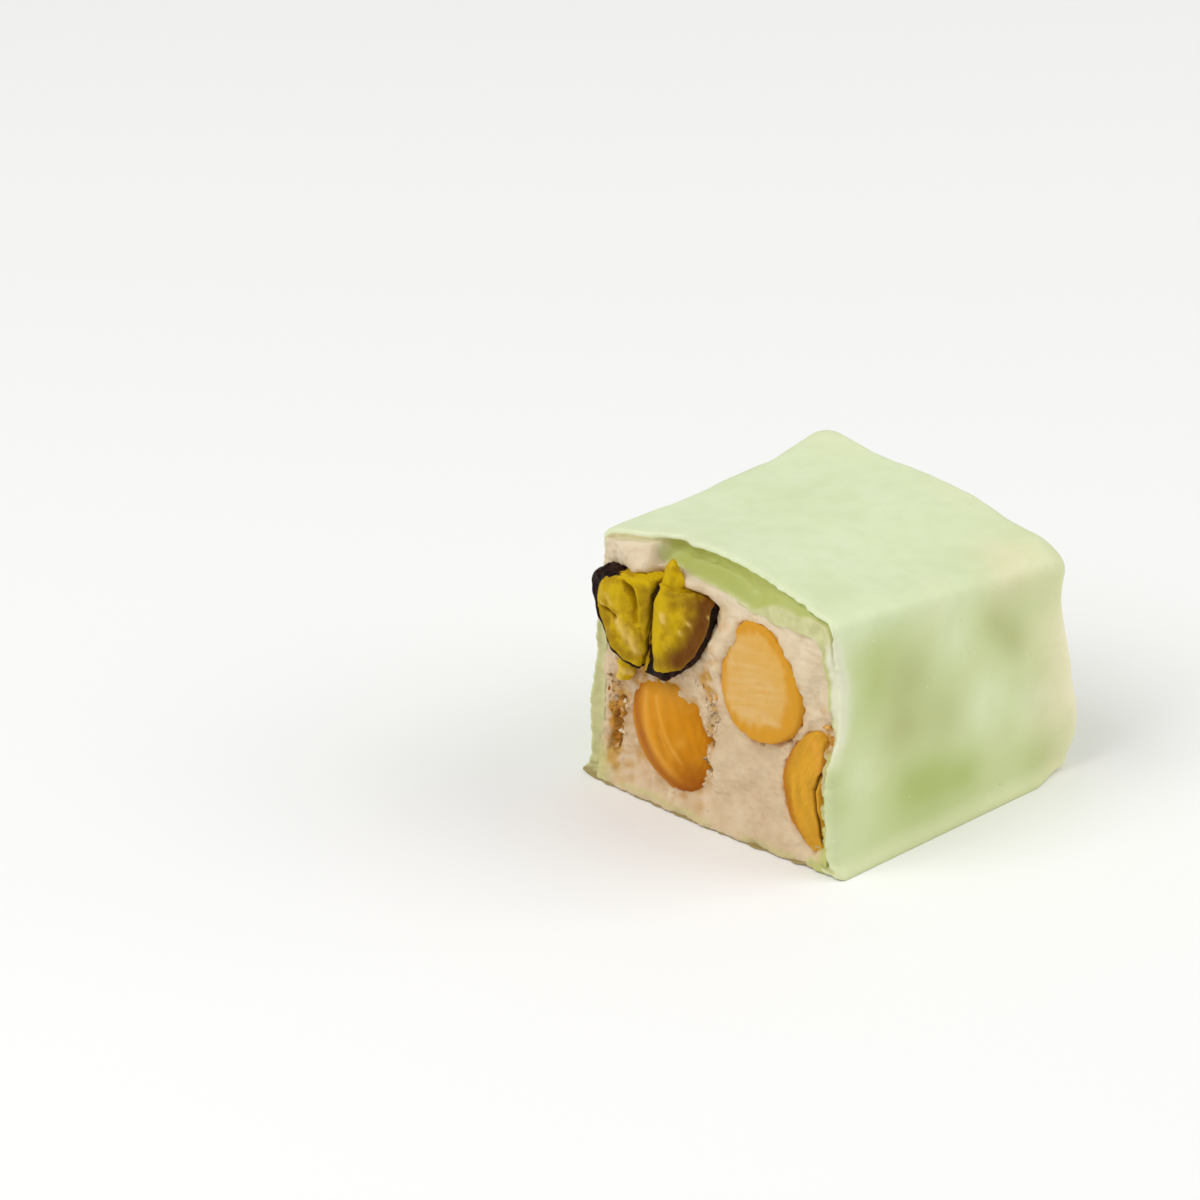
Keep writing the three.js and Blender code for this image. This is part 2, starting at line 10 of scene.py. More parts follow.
import bmesh
import bpy
import numpy as np
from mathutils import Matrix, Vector


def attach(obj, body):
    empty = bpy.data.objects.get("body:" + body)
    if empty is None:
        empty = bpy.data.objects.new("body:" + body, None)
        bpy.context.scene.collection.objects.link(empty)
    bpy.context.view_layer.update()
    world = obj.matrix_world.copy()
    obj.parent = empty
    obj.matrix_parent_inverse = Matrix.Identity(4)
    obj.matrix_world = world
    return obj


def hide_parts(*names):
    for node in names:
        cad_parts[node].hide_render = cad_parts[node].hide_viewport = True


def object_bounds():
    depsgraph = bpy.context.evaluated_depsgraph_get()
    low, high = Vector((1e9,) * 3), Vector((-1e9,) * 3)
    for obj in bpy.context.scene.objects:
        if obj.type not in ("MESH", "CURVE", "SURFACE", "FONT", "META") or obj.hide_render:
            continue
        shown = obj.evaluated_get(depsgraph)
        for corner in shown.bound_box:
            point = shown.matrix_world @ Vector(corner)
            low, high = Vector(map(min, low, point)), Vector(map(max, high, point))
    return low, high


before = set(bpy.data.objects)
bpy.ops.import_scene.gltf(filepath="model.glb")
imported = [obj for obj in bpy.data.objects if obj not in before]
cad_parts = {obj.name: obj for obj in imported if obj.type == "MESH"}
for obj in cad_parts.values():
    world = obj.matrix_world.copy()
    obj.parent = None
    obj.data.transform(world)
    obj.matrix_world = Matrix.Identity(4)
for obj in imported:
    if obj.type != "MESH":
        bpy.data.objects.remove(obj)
cad_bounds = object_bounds()

MM = 0.001

# ---- driving dimensions

BROKEN_FACE = -11.0
CLOSED_END = 10.9
END_SLANT = 0.04
HEIGHT = 17.58
BACK_HALF_WIDTH = 11.2
BACK_TAPER = 0.055
FRONT_HALF_WIDTH = 10.8
FRONT_TAPER = 0.036
END_TAPER = 0.014
FOOT_REACH = 0.85
FOOT_HEIGHT = 1.5

BASE_EDGE_RADIUS = 0.3
END_BASE_EDGE_RADIUS = 0.7
TOP_EDGE_RADIUS = 0.8
WORN_EDGE_RADIUS = 1.4
UPPER_CORNER_RADIUS = 1.5
LOWER_CORNER_RADIUS = 1.25

CROWN = 1.2
CROWN_LENGTH = 6.5
CROWN_HALF_WIDTH = 10.2
LOW_CORNER_DROP = 2.5
SAG_START = 1.0
SAG_END = -9.7
HIGH_CORNER_LIFT = 0.72
HIGH_CORNER = (10.0, 9.8, 3.4)  # x, y and spread

TOP_COAT = 2.0  # thickness of the coating on each side
THICK_TOP_COAT = 2.75  # on top, towards -Y
THICK_TOP_COAT_AT = -3.8
THICK_TOP_COAT_SPREAD = 3.0
THIN_TOP_COAT = 0.6
THIN_TOP_COAT_FROM = 5.9
THIN_TOP_COAT_FADE = 0.4
BACK_COAT = 1.05
THIN_BACK_COAT = 0.65
FRONT_COAT = 1.0
UPPER_FRONT_COAT = 1.25
THIN_FRONT_COAT = 0.6
THIN_FRONT_COAT_HEIGHT = 8.4
BASE_COAT = 0.35
END_COAT = 0.95
NOUGAT_EDGE_RADIUS = 0.7

SKIN_INSET = 0.05  # the fine skin lies this far inside the CAD's coarse one

# Swellings over the nuts and hollows between them: x, y, z, height and spread.
SWELLS = [
    (4.6, -10.2, 13.2, -0.4, 2.6), (-6.4, -10.4, 11.0, -0.28, 3.0), (-4.8, -10.7, 4.2, -0.22, 2.6),
    (0.8, -10.6, 7.0, 0.35, 3.2), (7.9, -10.4, 9.0, 0.3, 2.6), (11.2, -10.2, 4.0, 0.9, 2.3),
    (11.0, -10.2, 8.2, 0.45, 2.9), (11.0, -10.0, 1.8, 0.5, 1.8), (10.8, -8.6, 14.8, 0.65, 2.2),
    (11.2, 3.0, 11.0, 0.35, 3.4), (11.2, -3.5, 5.0, -0.3, 3.0), (-10.5, 10.7, 5.2, 0.3, 1.9),
    (3.0, 10.6, 8.0, 0.4, 3.6), (-4.0, 10.4, 12.0, 0.3, 3.2), (-10.0, 9.8, 17.5, 0.22, 5.0),
    (2.0, 2.0, 17.4, 0.12, 4.5), (6.5, 5.5, 17.4, -0.12, 3.5),
]

# ---- small helpers


def clamp(value, low=0.0, high=1.0):
    return np.clip(value, low, high)


def lerp(first, second, share):
    return first + (second - first) * share


def smoothstep(value, low, high):
    share = clamp((value - low) / (high - low))
    return share * share * (3 - 2 * share)


def bell(distance, spread):
    return np.exp(-((distance / spread) ** 2))


def rounded_max(first, second, radius):
    """The larger of two distances, with the corner between their surfaces rounded."""
    near_both = (first > -radius) & (second > -radius)
    rounded = np.hypot(first + radius, second + radius) - radius
    return np.where(near_both, rounded, np.maximum(first, second))


def ripples(points, size, seed, waves=16):
    """A smooth random field of about unit height, with bumps about size apart."""
    draw = np.random.default_rng(seed)
    total = np.zeros(len(points))
    for _ in range(waves):
        direction = draw.normal(size=3)
        direction /= np.linalg.norm(direction)
        steepness = 2 * math.pi / size * draw.uniform(0.6, 1.5)
        total += np.sin(points @ direction * steepness + draw.uniform(0, 2 * math.pi))
    return total / math.sqrt(waves / 2)


def spotted(places, spots):
    """The sum of soft spots, each with a centre, a strength and a spread."""
    total = np.zeros(len(places))
    for (*centre, strength, spread) in spots:
        total += strength * bell(np.linalg.norm(places - np.array(centre), axis=1), spread)
    return total


def march(distance, starts, directions, reach=8.0, halvings=22):
    """Walks from points inside a form, along the directions, to its surface."""
    inside = np.zeros(len(starts))
    outside = np.full(len(starts), reach)
    for _ in range(halvings):
        middle = (inside + outside) / 2
        within = distance(*(starts + directions * middle[:, None]).T) < 0
        inside = np.where(within, middle, inside)
        outside = np.where(within, outside, middle)
    return starts + directions * ((inside + outside) / 2)[:, None]


def unit(*vector):
    return np.array(vector) / np.linalg.norm(vector)


# ---- the bar's outer form


def swell(x, y, z):
    """How far the coating swells out of the plain form, with the low waves it set in."""
    points = np.column_stack([x, y, z])
    lumpy_corner = smoothstep(x, 7.5, 10.5) * smoothstep(-y, 6.5, 10)
    waves = 0.032 * ripples(points, 7.0, seed=3) + 0.012 * ripples(points, 2.4, seed=4)
    waves += 0.06 * lumpy_corner * ripples(points, 3.4, seed=5)
    return (waves + spotted(points, SWELLS) - SKIN_INSET) * smoothstep(z, 0.3, 2.2)


def near_end(x):
    return smoothstep(x, 6.5, 10.5)


def foot(x, z):
    return FOOT_REACH * (1 - near_end(x)) * clamp(1 - z / FOOT_HEIGHT) ** 2


def back_half_width(z):
    return BACK_HALF_WIDTH - BACK_TAPER * z


def front_half_width(z):
    return FRONT_HALF_WIDTH - FRONT_TAPER * z


def end_reach(y, z):
    return CLOSED_END - END_TAPER * z - END_SLANT * y


def towards_end(x):
    return clamp((x - BROKEN_FACE) / (CLOSED_END - BROKEN_FACE))


def top_height(x, y):
    across = clamp(1 - (y / CROWN_HALF_WIDTH) ** 2)
    crown = CROWN * across * bell(np.maximum(x - BROKEN_FACE, 0), CROWN_LENGTH)
    towards_front = clamp((SAG_START - y) / (SAG_START - SAG_END))
    sag = LOW_CORNER_DROP * towards_end(x) ** 1.3 * towards_front ** 1.6
    corner_x, corner_y, spread = HIGH_CORNER
    lift = HIGH_CORNER_LIFT * bell(np.hypot(x - corner_x, y - corner_y), spread)
    return HEIGHT + crown + lift - sag


def bar_distance(x, y, z):
    """How far a point is outside the coated bar; negative inside it."""
    side = np.maximum(y - back_half_width(z), -y - front_half_width(z)) - foot(x, z)
    end = x - end_reach(y, z)
    corner_radius = lerp(LOWER_CORNER_RADIUS, UPPER_CORNER_RADIUS, clamp(z / HEIGHT))
    plan = rounded_max(side, end, corner_radius)
    worn = towards_end(x) * smoothstep(-y, 2, 9)
    edge_radius = lerp(TOP_EDGE_RADIUS, WORN_EDGE_RADIUS, worn)
    upper = rounded_max(plan, z - top_height(x, y), edge_radius) - swell(x, y, z)
    return rounded_max(upper, -z, lerp(BASE_EDGE_RADIUS, END_BASE_EDGE_RADIUS, near_end(x)))


# ---- the hollow for the nougat


def top_coat(y):
    past = y - THIN_TOP_COAT_FROM
    coat = lerp(TOP_COAT, THICK_TOP_COAT, bell(y - THICK_TOP_COAT_AT, THICK_TOP_COAT_SPREAD))
    return lerp(coat, THIN_TOP_COAT, smoothstep(past, -THIN_TOP_COAT_FADE, THIN_TOP_COAT_FADE))


def back_coat(z):
    return lerp(BACK_COAT, THIN_BACK_COAT, smoothstep(z, 9, 13))


def front_coat(x, z):
    coat = lerp(FRONT_COAT, UPPER_FRONT_COAT, smoothstep(z, 9, 11.5))
    thin = bell(z - THIN_FRONT_COAT_HEIGHT, 2.2) * bell(x - BROKEN_FACE, 4)
    return lerp(coat, THIN_FRONT_COAT, thin)


def hollow_distance(x, y, z):
    """How far a point is outside the hollow that the nougat fills."""
    side = np.maximum(y - back_half_width(z) + back_coat(z), -y - front_half_width(z) + front_coat(x, z))
    end = x - end_reach(y, z) + END_COAT
    plan = rounded_max(side, end, 2 * NOUGAT_EDGE_RADIUS)
    upper = rounded_max(plan, z - top_height(x, y) + top_coat(y), NOUGAT_EDGE_RADIUS)
    return rounded_max(upper, BASE_COAT - z, BASE_EDGE_RADIUS)


# ---- how the break runs

CHUNK_EDGE = 5.7  # a chunk of nougat stands forward beyond this y, at the top
CHUNK_EDGE_FADE = 0.35
CHUNK_RECESS = 0.45  # its share of the notch's depth


def up_front_edge(z):
    return smoothstep(z, 7.0, 10.5)


def base_lip(y, z):
    """How far the base stands out past the break."""
    return (0.35 + 0.3 * bell(y, 6)) * (1 - smoothstep(z, 0.5, 2.5)) * (1 - smoothstep(y, 9.3, 12))


def outer_break(y, z):
    """How far the coating's outer edge has broken back behind the plane of the break."""
    on_top = smoothstep(z, 13.5, 16.5)
    on_front = smoothstep(-y, 7, 9.5) * (1 - on_top)
    top = 1.45 * bell(y - 1, 7.5) + 0.9 * bell(y - 5, 1.2)
    front = lerp(-0.45, 0.7, up_front_edge(z))
    back = 0.4 * bell(z - 15.6, 1.5) * smoothstep(y, 8.8, 9.6)
    return on_top * top + on_front * front + back - base_lip(y, z) * (1 - on_front)


def inner_break(y, z):
    """How far back the coating's inner edge lies, where the nougat starts."""
    on_top = smoothstep(z, 12.5, 15.5)
    on_front = smoothstep(-y, 7, 9.2) * (1 - on_top)
    chunk = smoothstep(y, CHUNK_EDGE - CHUNK_EDGE_FADE, CHUNK_EDGE + CHUNK_EDGE_FADE)
    top = 1.3 * bell(y - 5.2, 2.2) * lerp(1, CHUNK_RECESS, chunk) + 0.25 * bell(y + 3, 4)
    return 0.1 + on_top * top + on_front * 0.45 * up_front_edge(z)


# ---- meshes made of rings

SIDE_STEPS = 62  # along each straight side of a ring
CORNER_STEPS = 28  # round each of its corners
CORE_LOW = (9.5, 9.2, 1.2)  # the core that the rings are looked for from: x, y, z
CORE_HIGH = (8.2, 7.6, 14.2)
MIDDLE = np.array([0.0, 8.2])  # y and z of the poles
LAST_ROUND_ANGLE = math.radians(80)  # how far the closed end's edge is followed round


def ring_seeds():
    """Points round the bar's core, as y and z, and the direction in which each looks."""
    quarter = math.pi / 2
    corners = [
        (-CORE_LOW[1], CORE_LOW[2], -2 * quarter), (CORE_LOW[1], CORE_LOW[2], -quarter),
        (CORE_HIGH[1], CORE_HIGH[2], 0.0), (-CORE_HIGH[1], CORE_HIGH[2], quarter),
    ]
    places, angles = [], []
    for index, (y, z, turn) in enumerate(corners):
        for step in range(CORNER_STEPS + 1):
            places.append((y, z))
            angles.append(turn + quarter * step / CORNER_STEPS)
        next_y, next_z, next_turn = corners[(index + 1) % len(corners)]
        for step in range(1, SIDE_STEPS):
            share = step / SIDE_STEPS
            places.append((lerp(y, next_y, share), lerp(z, next_z, share)))
            angles.append(next_turn)
    asides = np.column_stack([np.zeros(len(angles)), np.cos(angles), np.sin(angles)])
    return np.array(places), asides


SEEDS, ASIDES = ring_seeds()


def core_end(z):
    return lerp(CORE_LOW[0], CORE_HIGH[0], clamp((z - CORE_LOW[2]) / (CORE_HIGH[2] - CORE_LOW[2])))


def starts_at(x, places=SEEDS):
    return np.column_stack([np.broadcast_to(x, len(places)), places])


def ring_at(distance, x):
    return march(distance, starts_at(x), ASIDES)


def end_rings(distance, round_steps, cap_steps):
    """The rings round the closed end's edge and on the closed end, and its middle point."""
    ahead = np.array([1.0, 0.0, 0.0])
    rings = []
    for step in range(1, round_steps + 1):
        angle = LAST_ROUND_ANGLE * step / round_steps
        directions = ASIDES * math.cos(angle) + ahead * math.sin(angle)
        rings.append(march(distance, starts_at(core_end(SEEDS[:, 1])), directions))
    edge = rings[-1][:, 1:]
    for step in range(cap_steps - 1, 0, -1):
        places = lerp(MIDDLE, edge, step / cap_steps)
        directions = np.tile(ahead, (len(places), 1))
        rings.append(march(distance, starts_at(core_end(places[:, 1]), places), directions))
    middle = march(distance, starts_at(core_end(MIDDLE[1:]), MIDDLE[None]), ahead[None])
    return rings, middle[0]


def loft_faces(ring_count, around):
    """Quads between rings, numbered after a first pole, and fans to both poles."""
    last = 1 + ring_count * around
    faces = []
    for side in range(around):
        after = (side + 1) % around
        faces.append((0, 1 + side, 1 + after))
        faces.append((last, last - around + after, last - around + side))
    for ring in range(ring_count - 1):
        near = 1 + ring * around
        far = near + around
        for side in range(around):
            after = (side + 1) % around
            faces.append((near + side, far + side, far + after, near + after))
    return faces


def make_piece(name, points, faces, marks=None):
    """A smooth mesh object from points in millimetres, with a number on each point for its looks."""
    mesh = bpy.data.meshes.new(name)
    within_frame = np.clip(points * MM, *cad_bounds)
    mesh.from_pydata(within_frame.tolist(), [], faces)
    mesh.polygons.foreach_set("use_smooth", [True] * len(mesh.polygons))
    for mark, values in (marks or {}).items():
        layer = mesh.attributes.new(mark, "FLOAT", "POINT")
        layer.data.foreach_set("value", np.asarray(values, dtype=np.float32))
    face_out(mesh)
    piece = bpy.data.objects.new(name, mesh)
    bpy.context.scene.collection.objects.link(piece)
    return piece


def face_out(mesh):
    shape = bmesh.new()
    shape.from_mesh(mesh)
    bmesh.ops.recalc_face_normals(shape, faces=shape.faces)
    shape.to_mesh(mesh)
    shape.free()


# ---- the coating

RIM_RADIUS = 0.3  # the rounding of the coating's broken edge, on top
FRONT_RIM_RADIUS = 0.35  # on the -Y side
SOFT_RIM_RADIUS = 0.7  # low on that side, where it rolls over to the break
BASE_RIM_RADIUS = 0.12  # and on the base
RIM_STEPS = 7
ALONG_STEPS = 104
BAND_STEPS = 36  # across the coating's broken edge
COVE_DEPTH = 0.3  # the hollow that runs under the top's rim
HOLLOW_RINGS = (0, 0.02, 0.05, 0.15, 0.4, 0.7, 1)  # places along the hollow, as shares of its length
RIM_WEAR_AND_HIGHLIGHT_REACH = 0.65  # how far the pale rim reaches over the skin: a worn edge with a painted highlight along it


def on_front(y, z):
    return smoothstep(-y, 7, 9.5) * (1 - smoothstep(z, 15.5, 17))


def rim_radius(y, z):
    on_side = lerp(SOFT_RIM_RADIUS, FRONT_RIM_RADIUS, smoothstep(z, 5.5, 8.5))
    elsewhere = lerp(BASE_RIM_RADIUS, RIM_RADIUS, smoothstep(z, 0.1, 1.0))
    return lerp(elsewhere, on_side, on_front(y, z))


def cove_end(y):
    """How far down the broken edge the hollow under the rim reaches, from 0 to 1."""
    return lerp(0.92, 0.42, smoothstep(-y, 2.5, 5.2)) - 0.2 * smoothstep(-y, 6.8, 8.2)


def skin_rings():
    """The coating's outer skin from its broken rim to the closed end, with the distance from the rim."""
    level = ring_at(bar_distance, BROKEN_FACE)
    notches = 0.04 * ripples(level, 2.2, seed=11) + 0.045 * ripples(level, 0.7, seed=12)
    _, y, z = level.T
    rim = BROKEN_FACE + outer_break(y, z) + notches
    radius = rim_radius(y, z)
    rings, from_rim = [], []
    for step in range(RIM_STEPS + 1):
        angle = math.pi / 2 * step / RIM_STEPS
        along = radius * (1 - math.cos(angle))
        inset = radius * (1 - math.sin(angle))
        rings.append(ring_at(bar_distance, rim + along) - ASIDES * inset[:, None])
        from_rim.append(along)
    for step in range(1, ALONG_STEPS + 1):
        start = rim + radius
        x = lerp(start, core_end(SEEDS[:, 1]), (step / ALONG_STEPS) ** 1.25)
        rings.append(ring_at(bar_distance, x))
        from_rim.append(x - rim)
    closing, middle = end_rings(bar_distance, round_steps=30, cap_steps=24)
    from_rim.extend([ring[:, 0] - rim for ring in closing])
    return rings + closing, from_rim, middle


def band_rings(rim_ring, inner_ring):
    """The broken edge of the coating, from its rim to where the nougat starts."""
    _, y, z = rim_ring.T
    on_top = smoothstep(z, 13.5, 16.2)
    reach = cove_end(y)
    past_chunk = smoothstep(y, CHUNK_EDGE, CHUNK_EDGE + CHUNK_EDGE_FADE)
    under_rim = COVE_DEPTH * (1 - past_chunk)
    side_strip = on_front(y, z) * smoothstep(z, 9.0, 11.5)
    rings, coves, strip_wear_and_highlights = [], [], []
    for step in range(1, BAND_STEPS + 1):
        share = step / BAND_STEPS
        ring = lerp(rim_ring, inner_ring, share)
        forward = smoothstep(share, reach - 0.4, reach + 0.05)
        stepped = lerp(rim_ring[:, 0], inner_ring[:, 0], forward)
        hollow = under_rim * np.sin(math.pi * clamp(share / reach)) ** 0.8
        rough = 0.03 * ripples(ring, 0.9, seed=21) * math.sin(math.pi * share)
        ring[:, 0] = lerp(ring[:, 0], stepped + hollow, on_top) + rough
        rings.append(ring)
        # The hollow under the top's rim gets a deeper green: partly the cut coating's own colour and partly
        # painted shade under the rim.
        on_cove = on_top * (1 - past_chunk) * (1 - smoothstep(share, reach - 0.1, reach + 0.03))
        coves.append(on_cove + 0.5 * side_strip * bell(share - 0.85, 0.15))
        # A pale band by the rim on the -Y side: partly worn edge, partly painted highlight.
        strip_wear_and_highlights.append(side_strip * (1 - smoothstep(share, 0.45, 0.9)))
    return rings, coves, strip_wear_and_highlights


def inner_rings():
    """The hollow's skin from the coating's inner edge to the closed end."""
    level = ring_at(hollow_distance, BROKEN_FACE)
    start = BROKEN_FACE + inner_break(level[:, 1], level[:, 2]) + 0.04 * ripples(level, 1.1, seed=22)
    rings = []
    for share in HOLLOW_RINGS:
        rings.append(ring_at(hollow_distance, lerp(start, core_end(SEEDS[:, 1]), share)))
    closing, middle = end_rings(hollow_distance, round_steps=4, cap_steps=3)
    return rings + closing, middle


def coating_piece():
    outer, from_rim, outer_middle = skin_rings()
    inner, inner_middle = inner_rings()
    band, coves, strip_wear_and_highlights = band_rings(outer[0], inner[0])
    rings = outer[::-1] + band + inner[1:]
    points = np.concatenate([outer_middle[None], *rings, inner_middle[None]])
    on_skin = np.zeros(1 + len(outer) * len(SEEDS))
    in_hollow = np.zeros(len(points) - len(on_skin) - len(band) * len(SEEDS))
    _, y, z = points[:len(on_skin)].T
    # The pale rim on the skin: worn edge and painted highlight, strongest on the -Y side and high up.
    rim_wear_and_highlight = bell(np.concatenate([[CLOSED_END - BROKEN_FACE], *from_rim[::-1]]), RIM_WEAR_AND_HIGHLIGHT_REACH)
    rim_wear_and_highlight *= lerp(0.25, 1.0, on_front(y, z)) * lerp(0.3, 1.0, smoothstep(z, 7.0, 9.5))
    marks = {
        # The hollow under the rim: its deeper green is partly painted shade.
        "cove": np.concatenate([on_skin, *coves, in_hollow]),
        "broken": np.concatenate([on_skin, np.ones(len(points) - len(on_skin))]),
        "rim": np.concatenate([rim_wear_and_highlight, *strip_wear_and_highlights, in_hollow]),
        **skin_tints(points),
    }
    piece = make_piece("coating_skin", points, loft_faces(len(rings), len(SEEDS)), marks)
    return dress(piece, "coating", coating_material())


# Spots of the coating's colour: x, y, z, strength and spread. Creamy where it is thin over the nougat, and
# paler with painted sheen towards its edges and the closed end.
CREAM_AND_SHEEN = [
    (5.5, -10.0, 15.4, 0.6, 1.9), (8.8, -9.4, 15.0, 0.5, 2.4), (10.8, -9.8, 9.5, 1.0, 3.2),
    (10.6, -10.0, 5.0, 1.0, 3.0), (10.2, -10.2, 1.0, 0.5, 2.0), (11.3, -2.0, 15.5, 0.5, 3.0),
    (-1.0, -10.3, 16.4, 0.2, 2.0), (10.5, 9.0, 17.6, 0.35, 3.0), (-11.5, 5.0, 18.0, 0.3, 3.0),
    (11.3, -1.0, 7.0, 0.4, 3.0), (6.8, -8.4, 16.8, 0.5, 1.8),
]
# Greyer where a nut lies close behind it: painted shade of the nut.
NUT_SHADE_SPOTS = [
    (-4.2, -10.6, 11.6, 0.85, 1.9), (-4.7, -10.6, 8.3, 0.9, 1.9), (-1.0, -10.6, 8.0, 0.5, 1.9),
    (4.5, -10.5, 12.6, 0.85, 1.5), (5.9, -10.5, 10.8, 0.8, 1.4), (6.4, -10.0, 14.6, 0.5, 1.3),
    (6.0, 10.6, 9.0, 0.6, 2.6), (-5.5, 10.8, 6.5, 0.5, 2.4), (11.0, 3.5, 9.0, 0.6, 2.8),
]
# Where it pooled, it is a fresher green.
FRESH = [
    (-6.8, -10.4, 14.2, 0.5, 2.0), (-6.7, -10.6, 11.6, 0.6, 2.1), (-1.6, -10.7, 3.5, 0.75, 2.0),
    (-4.1, -10.7, 3.7, 0.8, 2.1), (1.0, -10.7, 3.1, 0.7, 1.7), (8.4, -10.6, 2.0, 0.7, 1.7),
    (9.2, -10.2, 8.4, 0.6, 1.7), (-3.8, -9.8, 16.0, 0.2, 1.8), (-11.0, -10.2, 5.0, 0.5, 1.2),
    (0.0, 10.8, 4.0, 0.6, 3.5), (11.0, -1.5, 4.0, 0.5, 3.0), (-7.6, -7.0, 17.9, 0.2, 2.5),
    (-11.1, -10.2, 6.8, 0.7, 0.7),
]
# And where it is thick, it is paler.
THICK = [
    (-9.0, -10.7, 6.2, 0.45, 2.0), (-9.6, -10.7, 2.0, 0.35, 2.0), (2.8, -10.8, 7.4, 0.6, 2.4),
    (0.3, -10.7, 13.0, 0.6, 2.0), (7.4, -10.8, 6.0, 0.5, 1.9), (-9.6, -10.3, 12.0, 0.4, 1.4),
]


def skin_tints(points):
    x, y, z = points.T
    at_foot = (1 - smoothstep(z, 0.3, 1.5)) * smoothstep(-y, 9, 10)
    near_break = 1 - smoothstep(x, -11.2, -10.6)
    under_break = (1 - smoothstep(z, 0.25, 0.7)) * (1 - smoothstep(-y, 9.0, 9.8))
    return {
        # Creamy and paler: partly thin coating, partly painted sheen.
        "cream_and_sheen": clamp(spotted(points, CREAM_AND_SHEEN) + 0.3 * at_foot),
        # Painted shade: greyer over the nuts close behind the coating.
        "nut_shade": clamp(spotted(points, NUT_SHADE_SPOTS)),
        "fresh": clamp(spotted(points, FRESH)),
        # Paler on the thick spots, and paler on top as a painted sheen.
        "upper": clamp(spotted(points, THICK) + smoothstep(z, 13.2, 17.4)),
        # Darker brown at the foot of the break, and along the +Y wall's broken edge a painted shade.
        "lower": near_break * (under_break + 0.35 * smoothstep(y, 9.6, 10.3)),
        "chunk": smoothstep(y, 5.4, 6.2) * smoothstep(z, 14.0, 16.5),
    }


# ---- nuts


class Egg:
    """An egg: its centre, the direction of its long axis, that of its flat side, and its size."""

    def __init__(self, centre, along, flat, size, point, bend=0.0):
        self.centre = np.array(centre)
        self.long = unit(*along)
        flat = np.array(flat)
        self.thin = unit(*(flat - self.long * (flat @ self.long)))
        self.wide = np.cross(self.thin, self.long)
        self.halves = np.array(size) / 2  # along the long, wide and thin directions
        self.point = point
        self.bend = bend

    def local(self, x, y, z):
        """Where points are along the long axis, from -1 to 1, and across it in millimetres."""
        offset = np.column_stack([x, y, z]) - self.centre
        along = offset @ self.long / self.halves[0]
        return along, offset @ self.wide - self.bend * along ** 2, offset @ self.thin

    def distance(self, x, y, z):
        along, across, deep = self.local(x, y, z)
        taper = 1 - self.point * clamp(along, -1, 1)
        radius = np.hypot(across / self.halves[1], deep / self.halves[2]) / taper
        return (np.hypot(radius, along) - 1) * min(self.halves[1:])

    def directions(self, rings, sides):
        """Steps from the middle that reach the egg's skin, ring by ring, with the two poles."""
        down = np.repeat(np.arange(1, rings) * math.pi / rings, sides)
        turn = np.tile(np.arange(sides) * 2 * math.pi / sides, rings - 1)
        length, width, depth = self.halves
        middle = (np.outer(np.cos(down) * length, self.long)
                  + np.outer(np.sin(down) * np.cos(turn) * width, self.wide)
                  + np.outer(np.sin(down) * np.sin(turn) * depth, self.thin))
        return np.concatenate([[self.long * length], middle, [-self.long * length]])


def painted(points, spots):
    """The sum of soft spots on the break, each at a y and z."""
    return spotted(points[:, 1:], spots)


def drawn(points, line, width):
    """A soft line on the break through places given as y and z."""
    nearest = np.full(len(points), np.inf)
    for start, end in zip(line[:-1], line[1:]):
        start, end = np.array(start), np.array(end)
        stretch = end - start
        share = clamp((points[:, 1:] - start) @ stretch / (stretch @ stretch))
        away = points[:, 1:] - start - share[:, None] * stretch
        nearest = np.minimum(nearest, np.linalg.norm(away, axis=1))
    return bell(nearest, width)


def lined(points, lines):
    """The sum of soft lines on the break, each with a width and a strength."""
    return clamp(sum(strength * drawn(points, line, width) for (line, width, strength) in lines))


def beyond(x, y, z, point, normal):
    """How far points are beyond a plane."""
    normal = unit(*normal)
    return (x - point[0]) * normal[0] + (y - point[1]) * normal[1] + (z - point[2]) * normal[2]


ALMOND_LOWER = Egg((-8.9, 4.35, 5.5), (-0.28, -0.45, -0.86), (-0.9, 0.1, 0.32), (9.9, 7.9, 5.8), 0.16)
ALMOND_UPPER = Egg((-10.2, -3.75, 11.5), (0.05, 0.27, 0.95), (-1, 0.15, 0), (8.3, 7.0, 6.4), 0.22)
ALMOND_EDGE = Egg((-9.9, -7.5, 5.2), (0, 0.04, 1), (-1, 0, 0), (9.1, 3.4, 5.2), -0.05, bend=-1.5)
KERNEL = Egg((-12.0, 4.75, 15.4), (0, 0.06, -1), (-1, 0.3, 0), (12.4, 9.9, 9.0), 0.13)
SPIKE = Egg((-11.3, 3.2, 15.9), (-0.1, 0.12, 1), (-1, 0, 0), (4.2, 1.8, 1.3), 0.2)
CHIP = Egg((-11.1, 7.8, 8.7), (0, 0.25, -1), (-1, 0, 0), (2.1, 1.4, 1.3), 0.1)
SLIVER = Egg((-10.5, 8.85, 4.4), (0, -0.1, 1), (-1, 0, 0), (4.6, 0.9, 1.6), 0.0)

SPLIT_POINT = (-12.6, 4.55, 14.0)
SPLIT_NORMAL = (-0.3, 1.0, 0.21)
SPLIT_HALF_WIDTH = 0.12
LEFT_RIDGE = ((-12.9, 7.0, 14.0), (-1, 0.12, -0.05), (-1, -0.4, -0.12))
RIGHT_RIDGE = ((-12.15, 3.4, 14.0), (-1, 0.1, -0.05), (-1, -0.22, -0.1))
SEARCH_SIZE = (8.0, 5.0, 5.0)  # of the egg from which the skin of a half is looked for
UPPER_CUT = ((-11.15, -3.6, 11.7), (-1, 0.02, 0.08))
EDGE_CUT = ((-11.2, -7.7, 5.4), (-1, -0.06, 0.02))


